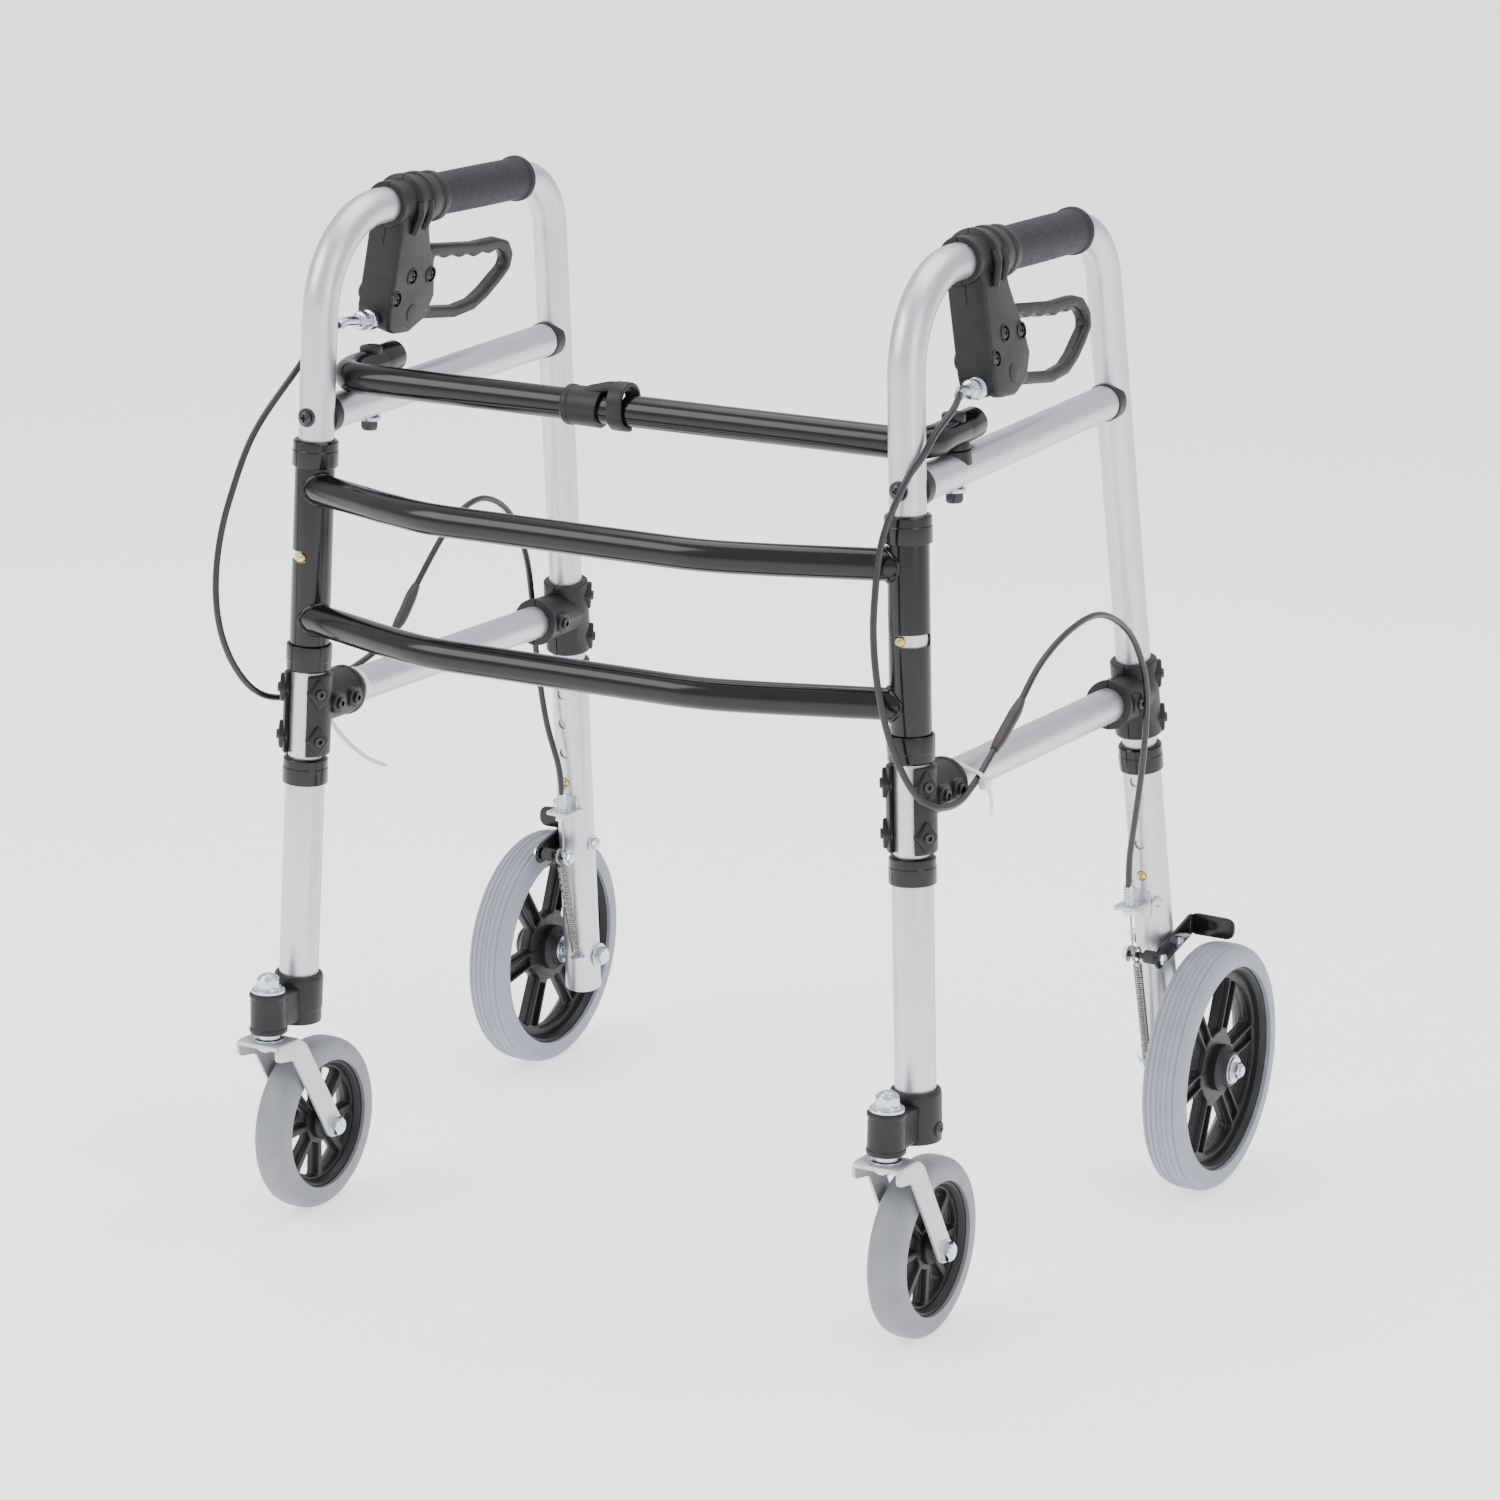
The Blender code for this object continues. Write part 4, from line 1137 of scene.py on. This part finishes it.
def window(angle, spread_in, spread_out, low, high, corner):
    """A rounded opening between two spokes, about the wheel's axle, as (y, z) points."""
    points = []
    for i in range(7):
        a = angle - spread_out + 2 * spread_out * i / 6
        points.append((high * math.cos(a), high * math.sin(a)))
    for i in range(4):
        a = angle + spread_in - 2 * spread_in * i / 3
        points.append((low * math.cos(a), low * math.sin(a)))
    return outline(points, corner)


def circle(radius):
    return arc((0, 0), radius, 0, 360, 96)[:-1]


def rim(radius, half, hub, hub_half, windows, web_half, rib_half, spoke, border, first):
    """Ring, hub and ribbed spokes: a thin pierced web, a thicker rib plate, and two turnings.

    `windows` holds the openings' count and their inner and outer radius, `spoke` the half width
    of a spoke there, and `border` how far the ribs stand back from an opening's edge.
    """
    ring = turned(
        [(radius, -half), (radius, half), (radius - 0.003, half), (radius - 0.0052, half - 0.004),
         (radius - 0.006, 0), (radius - 0.0052, 0.004 - half), (radius - 0.003, -half)],
        ACROSS, 0.0008, 96, closed=True,
    )
    pieces = [ring]
    count, inner, outer = windows
    step = math.tau / count
    for depth, back in ((web_half, 0.0), (rib_half, border)):
        outlines = [circle(radius - 0.004)]
        for i in range(count):
            angle = step * (i + 0.5) + math.pi / 2 + first
            wide_in = step / 2 - (spoke[0] - back) / inner
            wide_out = step / 2 - (spoke[1] - back) / outer
            outlines.append(window(
                angle, max(wide_in, 0.05), wide_out, inner - back, outer + back, 0.006
            ))
            trough = spoke[0] - back - RIB_WIDTH
            if back and trough > 0.001:
                low, high = inner + 0.001, outer - 0.001
                outlines.append(window(
                    angle + step / 2, trough / low, (spoke[1] - back - RIB_WIDTH) / high, low,
                    high, 0.0015,
                ))
        pieces.append(plate(outlines, -depth, depth, 0.0007, 2))
    pieces.append(turned(
        [(0.0045, -hub_half), (hub * 0.72, -hub_half), (hub * 0.8, -hub_half * 0.8),
         (hub, -hub_half * 0.62), (hub, hub_half * 0.62), (hub * 0.8, hub_half * 0.8),
         (hub * 0.72, hub_half), (0.0045, hub_half)],
        ACROSS, 0.0008, 64, closed=True,
    ))
    return merged(*pieces)


def caster_wheels():
    grey = tyre(CASTER_RADIUS, 0.0478, 0.013, (), 0.55)
    pair("caster_tyre_tread", grey, "caster_wheel", FRONT_TYRE, CASTER_AXLE, ["caster_tyre"])
    spider = rim(
        0.0482, 0.0102, 0.0118, 0.0142, (8, 0.017, 0.04), 0.0016, 0.0052, (0.0034, 0.0042),
        0.0012, 0,
    )
    pair("caster_rim_moulding", spider, "caster_wheel", PLASTIC, CASTER_AXLE, ["caster_rim"])


def rear_wheels():
    grooves = (-0.0105, -0.006, -0.0018, 0.0018, 0.006, 0.0105)
    grey = tyre(REAR_WHEEL_RADIUS, 0.0777, 0.016, grooves, 0.42)
    pair("rear_tyre_tread", grey, "rear_wheel", REAR_TYRE, REAR_AXLE, ["rear_tyre"])
    spider = rim(
        0.0781, 0.0128, 0.0178, 0.0188, (6, 0.029, 0.0665), 0.002, 0.006, (0.008, 0.0088),
        0.0014, math.radians(-22),
    )
    pair("rear_rim_moulding", spider, "rear_wheel", PLASTIC, REAR_AXLE, ["rear_rim"])
    bearing = turned(
        [(0.0042, -0.0192), (0.011, -0.0192), (0.011, 0.0192), (0.0042, 0.0192)],
        ACROSS, 0.0005, closed=True,
    )
    pair("rear_wheel_bearing", bearing, "rear_wheel", ZINC, REAR_AXLE)


def rear_axles():
    """The axle bolt: its head on the leg's inner side, its washer and nut outside the hub."""
    leg_x = SIDE.translation.x - REAR_WHEEL_RADIUS * math.tan(LEAN) - REAR_AXLE.translation.x
    inner = leg_x - LOWER_RADIUS
    parts = [
        rod((inner - 0.003, 0, 0), (0.027, 0, 0), 0.004, 28, 0.0006),
        washer(0.0098, 0.0016, facing(inner + 0.0004, 0, 0, -1)),
        hexagon(0.013, 0.0056, facing(inner - 0.0011, 0, 0, -1), dome=0.0006),
        washer(0.01, 0.0015, facing(0.0194, 0, 0, 1)),
        hexagon(0.011, 0.0048, facing(0.0208, 0, 0, 1), dome=0.0012),
        rod((leg_x + LOWER_RADIUS - 0.001, 0, 0), (-0.0194, 0, 0), 0.0075, 32, 0.0005),
    ]
    pair("rear_axle_bolt", merged(*parts), "rear_leg", ZINC, REAR_AXLE)


def caster_housing():
    """The block on the leg's foot with the boss for the kingpin in front of it."""
    leg_x = SIDE.translation.x - 0.165 * math.tan(LEAN) - CASTER.translation.x
    leg_y = SIDE.translation.y - CASTER.translation.y
    low = 0.1475
    slope = math.tan(LEAN)
    foot = Vector((leg_x + (0.165 - low) * slope, leg_y, low))
    up = Vector((-slope, 0, 1))
    socket = turned(
        [(0, 0), (0.0176, 0), (0.0176, 0.01), (0.018, 0.0105), (0.018, 0.033),
         (0.0172, 0.0362), (0.0148, 0.0362), (0.0148, 0.0045), (0, 0.0045)],
        towards(foot, up), 0.0009,
    )
    boss = turned(
        [(0, 0.1484), (0.0128, 0.1484), (0.0138, 0.1494), (0.0138, 0.152), (0.0131, 0.1527),
         (0.0131, 0.1748), (0.0138, 0.1755), (0.0138, 0.1776), (0.0128, 0.1786), (0, 0.1786)],
        radius=0.0005,
    )
    web = block((-0.0095, 0.002, 0.1505), (0.0115, leg_y - 0.004, 0.1762), 0.0022, 3)
    ear_z = 0.1575
    ear = rod((leg_x + 0.013, leg_y, ear_z), (leg_x + 0.0188, leg_y, ear_z), 0.0056, 32, 0.0008)
    housing = merged(carved(boss, "UNION", web), socket, ear)
    pair("caster_housing_moulding", housing, "front_leg", PLASTIC, CASTER,
         ["caster_housing"])
    screw = cross_screw(0.0042, 0.002, facing(leg_x + 0.0176, leg_y, ear_z, 1))
    pair("caster_housing_screw", screw, "front_leg", DARK_STEEL, CASTER)


def caster_fork():
    """Crown, two swept-back cheeks, and the kingpin with its nut."""
    outer, cheek = 0.0185, 0.0028
    axle_y, axle_z = 0.058, CASTER_RADIUS
    tip = [
        (axle_y + 0.0092 * math.cos(a), axle_z + 0.0092 * math.sin(a))
        for a in (0.6, 0.2, -0.2, -0.6, -1.0, -1.4, -1.8, -2.2, -2.55)
    ]
    back = [(-0.015, 0.143), (0.0125, 0.143), (0.0225, 0.1365)]
    front = [(0.0065, 0.1275), (-0.015, 0.131)]
    fork = plate([outline(back + tip + front, 0.006)], -outer, outer, 0.0012, 2)
    inside = plate(
        [[(-0.02, 0.1395), (0.0135, 0.1395), (0.0135, 0.16), (0.09, 0.16), (0.09, 0.02),
          (-0.02, 0.02)]],
        cheek - outer, outer - cheek, 0.0008, 2,
    )
    fork = carved(fork, "DIFFERENCE", inside)
    crown = block((-0.0176, -0.015, 0.1392), (0.0176, 0.0135, 0.143), 0.001)
    pair("caster_fork_pressing", merged(fork, crown), "caster_swivel", FORK, CASTER,
         ["caster_fork"])
    spacer = turned(
        [(0, 0.1425), (0.0112, 0.1425), (0.0112, 0.144), (0.0082, 0.1444), (0.0082, 0.1482),
         (0, 0.1482)], radius=0.0003,
    )
    pin = merged(
        spacer,
        washer(0.0122, 0.002, raised(0.1788)),
        turned([(0, 0.1806), (0.01, 0.1806), (0.0093, 0.1832), (0, 0.1832)], radius=0.0005),
        hexagon(0.016, 0.0076, raised(0.1828), dome=0.0034),
        hexagon(0.015, 0.005, towards((0, 0, 0.1396), (0, 0, -1))),
    )
    pair("kingpin_and_nuts", pin, "caster_swivel", ZINC, CASTER)
    bolt = [rod((-0.0205, 0, 0), (0.0205, 0, 0), 0.0038, 24)]
    for x in (1, -1):
        bolt += [
            washer(0.0082, 0.0012, facing(x * (outer - 0.0002), 0, 0, x)),
            hexagon(0.0125, 0.005, facing(x * (outer + 0.0008), 0, 0, x), dome=0.0008),
            rod((x * 0.0143, 0, 0), (x * (outer - cheek + 0.0002), 0, 0), 0.0065, 28),
        ]
    pair("caster_axle_bolt", merged(*bolt), "caster_swivel", ZINC, CASTER_AXLE)


# Brakes -----------------------------------------------------------------------------------

def brake_arm():
    inner_x, outer_x = 0.0152, 0.0182
    pin_y, pin_z = -0.028, -0.0065
    profile = [
        (-0.035, -0.0095), (-0.03, -0.0145), (-0.024, -0.0135), (0.03, -0.001),
        (0.03, 0.016), (-0.027, 0.002), (-0.034, -0.002),
    ]
    arm = plate([outline(profile, 0.0045)], inner_x, outer_x, 0.0006, 2)
    end = 0.052
    tab_outline = outline(
        [(-inner_x, -0.001), (-end, -0.001), (-end, 0.015), (-inner_x, 0.0158)], 0.0075, 6
    )
    tab = plate([tab_outline], 0.027, 0.03, 0.0006, 2)
    tab.transform(Matrix.Rotation(math.pi / 2, 4, "Z"))
    stem = rod((-0.012, pin_y, pin_z), (0.0215, pin_y, pin_z), 0.0024, 24)
    gusset = block((inner_x - 0.0004, 0.0215, 0.0000), (inner_x + 0.0044, 0.0275, 0.0132), 0.0012)
    pair("brake_arm_pressing", merged(arm, tab, stem, gusset), "brake", GLOSS, BRAKE, ["brake_arm"])
    sleeve = turned(
        [(0, 0), (0.0046, 0), (0.005, 0.0015), (0.005, 0.0085), (0.0044, 0.01), (0, 0.01)],
        facing(0.0045, pin_y, pin_z, 1), 0.0005, 32,
    )
    pair("brake_pin_sleeve", sleeve, "brake", RUBBER, BRAKE)
    ends = [
        hexagon(0.008, 0.004, facing(-0.0085, pin_y, pin_z, -1), dome=0.0008),
        washer(0.0062, 0.001, facing(-0.0078, pin_y, pin_z, -1)),
        hexagon(0.0075, 0.0034, facing(outer_x, pin_y, pin_z, 1), dome=0.0008),
        hexagon(0.0078, 0.0034, facing(outer_x, 0, 0, 1), dome=0.0008),
    ]
    pair("brake_arm_nuts", merged(*ends), "brake", ZINC, BRAKE)
    pivot = [
        rod((-LOWER_RADIUS - 0.002, 0, 0), (inner_x + 0.001, 0, 0), 0.003, 24),
        washer(0.0066, 0.0012, facing(0.0004 - LOWER_RADIUS, 0, 0, -1)),
        hexagon(0.0085, 0.0042, facing(-LOWER_RADIUS - 0.0007, 0, 0, -1), dome=0.0012),
    ]
    pair("brake_pivot_bolt", merged(*pivot), "rear_leg", ZINC, BRAKE)


def helix(start, end, radius, turns):
    """Points of a coil about the line between two points, ten to a turn."""
    start, end = Vector(start), Vector(end)
    along = (end - start).normalized()
    across = along.orthogonal().normalized()
    other = along.cross(across)
    count = turns * 10
    points = []
    for i in range(count + 1):
        t = i / count
        angle = math.tau * turns * t
        offset = across * math.cos(angle) + other * math.sin(angle)
        points.append(start + (end - start) * t + offset * radius)
    return points


def stretched(name, mesh):
    """A piece on each side, placed in the brake's frame with its transform baked, attached to no
    body.
    """
    for side, flip in SIDES:
        at = flip @ BRAKE
        made = piece(f"{side}_{name}", moved(mesh, at), None, SPRING)
        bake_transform(made)
    bpy.data.meshes.remove(mesh)


def return_spring():
    """The extension spring from the brake pin to the lug on the leg, and the inner wire."""
    pin = Vector((-0.0015, -0.028, -0.0065))
    top = pin + Vector((0, 0.001, -0.0075))
    lug_height = 0.0955
    lug_y = SIDE.translation.y + rear_leg_y(lug_height) - LOWER_RADIUS - 0.0045
    foot = Vector((-0.0015, lug_y - BRAKE.translation.y, lug_height - BRAKE.translation.z))
    low = foot + Vector((0, -0.0008, 0.006))
    coil = sweep(helix(top, low, 0.0029, 44), 0.00055, 6)
    ring = [pin + Vector((0, 0.0056 * math.cos(a), 0.0056 * math.sin(a)))
            for a in (math.tau * k / 24 for k in range(24))]
    hook = sweep([top + Vector((0, 0.0029, -0.0006)), top + Vector((0, 0.0026, 0.001)),
                  top + Vector((0, 0.0008, 0.0022))], 0.0006, 8)
    tail = sweep(
        [low + Vector((0, 0.0029, 0.0004)), low + Vector((0, 0.0016, -0.002)),
         foot + Vector((0, -0.0016, 0.0012)), foot + Vector((0, 0.0004, -0.0012))], 0.0006, 8,
    )
    spring = merged(coil, sweep(ring, 0.00085, 10, closed=True), hook, tail)
    stretched("return_spring", spring)
    lug = block((foot.x - 0.0042, foot.y - 0.003, foot.z - 0.0008),
                  (foot.x + 0.0042, foot.y + 0.0075, foot.z + 0.0008), 0.0004)
    pair("spring_lug", lug, "rear_leg", ZINC, BRAKE)
    start = BRAKE.inverted() @ SIDE @ Vector((-0.005, 0.3567, 0.236))
    wire_end = pin + Vector((-0.003, 0, -0.0052))
    wire = merged(
        sweep([start, start.lerp(wire_end, 0.5), wire_end], 0.0008, 10),
        turned([(0, 0), (0.0022, 0), (0.0022, 0.007), (0, 0.007)],
               towards(pin + Vector((-0.003, 0, -0.001)), start - wire_end), 0.0003, 20),
    )
    stretched("brake_wire", wire)


def cable_stop():
    """The silver bracket on the rear leg that holds the end of the cable jacket."""
    stop_y = rear_leg_y(0.226) - LOWER_RADIUS
    barrel_y = stop_y - 0.014
    shelf = block((-0.0145, stop_y - 0.0225, 0.2225), (0.0045, stop_y + 0.0035, 0.2258), 0.0008)
    backing = block((-0.01, stop_y - 0.0012, 0.214), (0.006, stop_y + 0.003, 0.234), 0.001)
    rivet = turned([(0, 0), (0.0042, 0), (0.0036, 0.002), (0.0018, 0.003), (0, 0.003)],
                   towards((0.0098, stop_y + 0.0026, 0.2255), (0.45, -0.9, 0)), 0.0006, 28)
    small_rivet = turned([(0, 0), (0.0036, 0), (0.003, 0.0016), (0, 0.0024)],
                         towards((-0.002, stop_y - 0.0008, 0.219), (0, -1, 0)), 0.0005, 28)
    fork_nut = hexagon(0.0095, 0.004, Matrix.Translation((-0.005, barrel_y, 0.218)))
    pair("cable_stop_bracket", merged(shelf, backing, rivet, small_rivet), "rear_leg", ALUMINIUM,
         stands_for=["cable_bracket"])
    ridged = [(0, 0.2255), (0.0046, 0.2255)]
    for i in range(6):
        z = 0.2262 + i * 0.0022
        ridged += [(0.0046, z), (0.0038, z + 0.0007), (0.0038, z + 0.0014), (0.0046, z + 0.0018)]
    ridged += [(0.0036, 0.2398), (0.003, 0.244), (0, 0.2442)]
    barrel = turned(ridged, Matrix.Translation((-0.005, barrel_y, 0)), 0.0002, 32)
    pair("cable_barrel", merged(barrel, fork_nut), "rear_leg", ZINC)


# Cables -------------------------------------------------------------------------------------

CABLE_RADIUS = 0.0024
ROUTES = {
    "right": [
        (0.014, 0.052, 0.655), (0.019, 0.03, 0.646), (0.0175, 0.008, 0.634),
        (0.015, -0.007, 0.62), (0.008, -0.019, 0.604), (-0.005, -0.027, 0.567),
        (-0.009, -0.032, 0.527), (-0.009, -0.034, 0.494), (-0.005, -0.034, 0.46),
        (0.002, -0.03, 0.426), (0.014, -0.024, 0.397), (0.024, -0.012, 0.385),
        (0.026, 0.018, 0.382), (0.022, 0.052, 0.389), (0.02, 0.078, 0.4),
        (0.02, 0.117, 0.423), (0.02, 0.157, 0.449), (0.02, 0.205, 0.464),
        (0.02, 0.254, 0.466), (0.021, 0.296, 0.448), (0.022, 0.32, 0.42),
        (0.022, 0.329, 0.389), (0.018, 0.331, 0.344), (0.008, 0.34, 0.3),
        (-0.002, 0.351, 0.265), (-0.005, 0.355, 0.2395),
    ],
    "left": [
        (-0.014, 0.052, 0.655), (-0.019, 0.03, 0.646), (-0.022, 0.006, 0.626),
        (-0.041, -0.017, 0.581), (-0.05, -0.031, 0.536), (-0.054, -0.038, 0.501),
        (-0.053, -0.042, 0.468), (-0.048, -0.042, 0.44), (-0.04, -0.036, 0.415),
        (-0.031, -0.022, 0.395), (-0.026, 0.004, 0.385), (-0.023, 0.045, 0.384),
        (-0.02, 0.109, 0.396), (-0.02, 0.146, 0.413), (-0.02, 0.17, 0.439),
        (-0.02, 0.202, 0.469), (-0.02, 0.228, 0.486), (-0.02, 0.262, 0.49),
        (-0.021, 0.3, 0.472), (-0.022, 0.328, 0.435), (-0.022, 0.341, 0.396),
        (-0.02, 0.348, 0.351), (-0.01, 0.35, 0.3), (0.002, 0.353, 0.262),
        (0.005, 0.355, 0.2395),
    ],
}
SPLICES = {"right": (0.082, 0.127), "left": (0.14, 0.174)}


def smooth_route(points, spacing):
    """A smooth curve through the points, with a point about every spacing."""
    points = [Vector(point) for point in points]
    ends = [2 * points[0] - points[1]] + points + [2 * points[-1] - points[-2]]
    route = []
    for i in range(1, len(ends) - 2):
        a, b, c, d = ends[i - 1 : i + 3]
        count = max(1, round((c - b).length / spacing))
        for k in range(count):
            t = k / count
            route.append(
                0.5 * (2 * b + (c - a) * t + (2 * a - 5 * b + 4 * c - d) * t**2
                       + (3 * b - a - 3 * c + d) * t**3)
            )
    return route + [points[-1]]


def brake_cables():
    for side, flip in SIDES:
        place = flip @ SIDE @ flip
        route = [place @ point for point in smooth_route(ROUTES[side], 0.004)]
        curve = bpy.data.curves.new(f"{side}_cable_line", "CURVE")
        curve.dimensions = "3D"
        curve.bevel_depth = CABLE_RADIUS
        curve.bevel_resolution = 4
        curve.use_fill_caps = True
        spline = curve.splines.new("POLY")
        spline.points.add(len(route) - 1)
        for point, position in zip(spline.points, route):
            point.co = (*position, 1)
        spline.use_smooth = True
        cable = bpy.data.objects.new(f"{side}_cable_jacket", curve)
        bpy.context.scene.collection.objects.link(cable)
        curve.materials.append(JACKET.material)
        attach(cable, f"{side}_side")
        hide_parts(f"{side}_brake_cable")
        low, high = SPLICES[side]
        base = SIDE.translation.y
        middle = [p for p in route if low <= p.y - base <= high and 0.34 < p.z < 0.44]
        radii = [0.003 + 0.0014 * min(1, 5 * min(i, len(middle) - 1 - i) / len(middle))
                 for i in range(len(middle))]
        splice = piece(f"{side}_cable_splice", sweep(middle, radii, 28), f"{side}_side", BROWN)


def adjusters():
    """The barrel adjuster between each lever housing's lower corner and its cable."""
    start = Vector(ROUTES["right"][0])
    ahead = (Vector(ROUTES["right"][1]) - start).normalized()
    seat = SIDE.inverted() @ HANDLE @ Vector((0.0006, 0.084, -0.0862))
    at = towards(seat, start - seat)
    reach = (start - seat).length
    barrel = merged(
        turned(
            [(0, -0.004), (0.005, -0.004), (0.005, 0.001), (0.0074, 0.0016), (0.0078, 0.0024),
             (0.0078, 0.0058), (0.0073, 0.0068), (0.0056, 0.0072), (0.0054, 0.0092),
             (0.0064, 0.0098), (0.0066, 0.0106), (0.0066, 0.0148), (0.0061, 0.0158),
             (0.0046, 0.0162), (0.0044, 0.0182), (0, 0.0182)], at, 0.0003, 40,
        ),
        *[rod(at @ Vector((0.0064 * math.cos(a), 0.0064 * math.sin(a), 0.01)),
              at @ Vector((0.0064 * math.cos(a), 0.0064 * math.sin(a), 0.0154)), 0.0007, 8)
          for a in (math.tau * i / 20 for i in range(20))],
        sweep([at @ Vector((0, 0, 0.017)), at @ Vector((0, 0, reach - 0.004)), start,
               start + ahead * 0.006], 0.0037, 28),
    )
    pair("cable_adjuster", barrel, "side", ZINC)


def strap(points, width_axis, width, thickness, closed=False):
    """A flat strap along points, lying with its width along one axis."""
    points = [Vector(point) for point in points]
    across = Vector(width_axis).normalized() * width / 2
    count = len(points)
    rings = []
    for i, point in enumerate(points):
        before = points[i - 1] if i or closed else point
        after = points[(i + 1) % count] if i < count - 1 or closed else point
        out = (after - before).cross(across).normalized() * thickness / 2
        rings.append([
            point + across * 0.86 + out, point + across + out * 0.3, point + across - out * 0.3,
            point + across * 0.86 - out, point - across * 0.86 - out, point - across - out * 0.3,
            point - across + out * 0.3, point - across * 0.86 + out,
        ])
    return mesh_from(lambda shape: skin(shape, rings, closed))


def hull(points):
    """The convex hull of (x, z) points, as a loop."""
    points = sorted(points)

    def half(sequence):
        chain = []
        for p in sequence:
            while len(chain) > 1:
                (ax, ay), (bx, by) = chain[-2:]
                if (bx - ax) * (p[1] - ay) - (by - ay) * (p[0] - ax) > 0:
                    break
                chain.pop()
            chain.append(p)
        return chain[:-1]

    return half(points) + half(reversed(points))


def cable_ties():
    """A white tie round each lower rail and cable, with its head and its tail."""
    tie_y = {"right": 0.056, "left": 0.058}
    tails = {
        "right": [(0.0285, 0.056, 0.3865), (0.03, 0.058, 0.379), (0.029, 0.062, 0.37),
                  (0.025, 0.068, 0.362)],
        "left": [(0.024, 0.058, 0.37), (0.02, 0.062, 0.356), (0.012, 0.072, 0.34),
                 (0.002, 0.084, 0.327), (-0.007, 0.096, 0.32)],
    }
    for side, flip in SIDES:
        y = tie_y[side]
        route = smooth_route(ROUTES[side], 0.002)
        near = min((p for p in route if 0.37 < p.z < 0.41), key=lambda p: abs(p.y - y))
        cable_x = abs(near.x)
        spots = []
        for k in range(48):
            a = math.tau * k / 48
            spots.append((0.0136 * math.cos(a), LOWER_RAIL_Z + 0.0136 * math.sin(a)))
            spots.append((cable_x + 0.0034 * math.cos(a), near.z + 0.0034 * math.sin(a)))
        loop = [(x, y, z) for x, z in hull(spots)]
        band = strap(loop, (0, 1, 0), 0.0048, 0.0013, closed=True)
        start = tails[side][0]
        head = block(
            (start[0] - 0.0045, y - 0.004, start[2] - 0.0035),
            (start[0] + 0.0018, y + 0.004, start[2] + 0.004), 0.0009,
        )
        tail = strap(smooth_route(tails[side], 0.002), (0, 0.9, 0.45), 0.004, 0.0011)
        mesh = merged(band, head, tail)
        piece(f"{side}_cable_tie", moved(mesh, flip @ SIDE), f"{side}_side", NYLON)


# Studio ---------------------------------------------------------------------------------------

def area_light(name, at, target, size, power):
    light = bpy.data.lights.new(name, "AREA")
    light.shape = "RECTANGLE"
    light.size, light.size_y = size
    light.energy = power
    lamp = bpy.data.objects.new(name, light)
    lamp.location = at
    aim = Vector(target) - Vector(at)
    lamp.rotation_euler = aim.to_track_quat("-Z", "Y").to_euler()
    bpy.context.scene.collection.objects.link(lamp)


def studio():
    floor = bpy.data.objects.new("studio_floor", block((-40, -40, -0.02), (40, 40, 0), 0))
    bpy.context.scene.collection.objects.link(floor)
    pale = Finish("pale_floor", "aluminium", (0.93, 0.93, 0.93), 0.9)
    pale.vary_colour(pale.noise(4, 2), (0.92, 0.92, 0.92))
    pale.set("Emission Color", (1, 1, 1, 1)).set("Emission Strength", 1.0)
    floor.data.materials.append(pale.material)
    world = bpy.data.worlds.new("studio_world")
    world.use_nodes = True
    backdrop = world.node_tree.nodes["Background"]
    backdrop.inputs["Color"].default_value = (0.97, 0.98, 1.0, 1)
    backdrop.inputs["Strength"].default_value = 1.08
    bpy.context.scene.world = world
    area_light("key_softbox", (-1.8, -2.2, 2.4), (0, 0, 0.4), (2.2, 1.8), 60)
    area_light("right_softbox", (2.6, -1.2, 1.6), (0, 0, 0.4), (1.4, 2.2), 26)
    area_light("top_softbox", (0.0, 0.4, 2.8), (0, 0, 0.3), (2.6, 2.0), 46)


def camera():
    """The main view, from the front and a little above."""
    azimuth = math.radians(28.741)
    elevation = math.radians(14.266)
    roll = math.radians(1.0945)
    forward = Vector((
        -math.sin(azimuth) * math.cos(elevation), math.cos(azimuth) * math.cos(elevation),
        -math.sin(elevation),
    ))
    level = Vector((math.cos(azimuth), math.sin(azimuth), 0))
    upright = level.cross(forward)
    right = math.cos(roll) * level + math.sin(roll) * upright
    up = math.cos(roll) * upright - math.sin(roll) * level
    turn = Matrix((right, up, -forward)).transposed().to_4x4()
    lens = bpy.data.cameras.new("camera")
    lens.lens = 116.017
    lens.sensor_width = 36
    lens.shift_x = -0.01072
    lens.shift_y = -0.00114
    made = bpy.data.objects.new("camera", lens)
    made.matrix_world = Matrix.Translation((1.66428, -3.01419, 1.21522)) @ turn
    bpy.context.scene.collection.objects.link(made)
    bpy.context.scene.camera = made


camera()
brake_cables()
side_tube()
rails()
crossbar_saddle()
leg_screws()
front_clamp()
rear_clamp()
legs()
buttons()
sleeves()
front_bars()
crossbar()
latch_clip()
hand_grip()
lever_housing()
brake_lever()
caster_wheels()
rear_wheels()
rear_axles()
caster_housing()
caster_fork()
brake_arm()
return_spring()
cable_stop()
adjusters()
cable_ties()
studio()
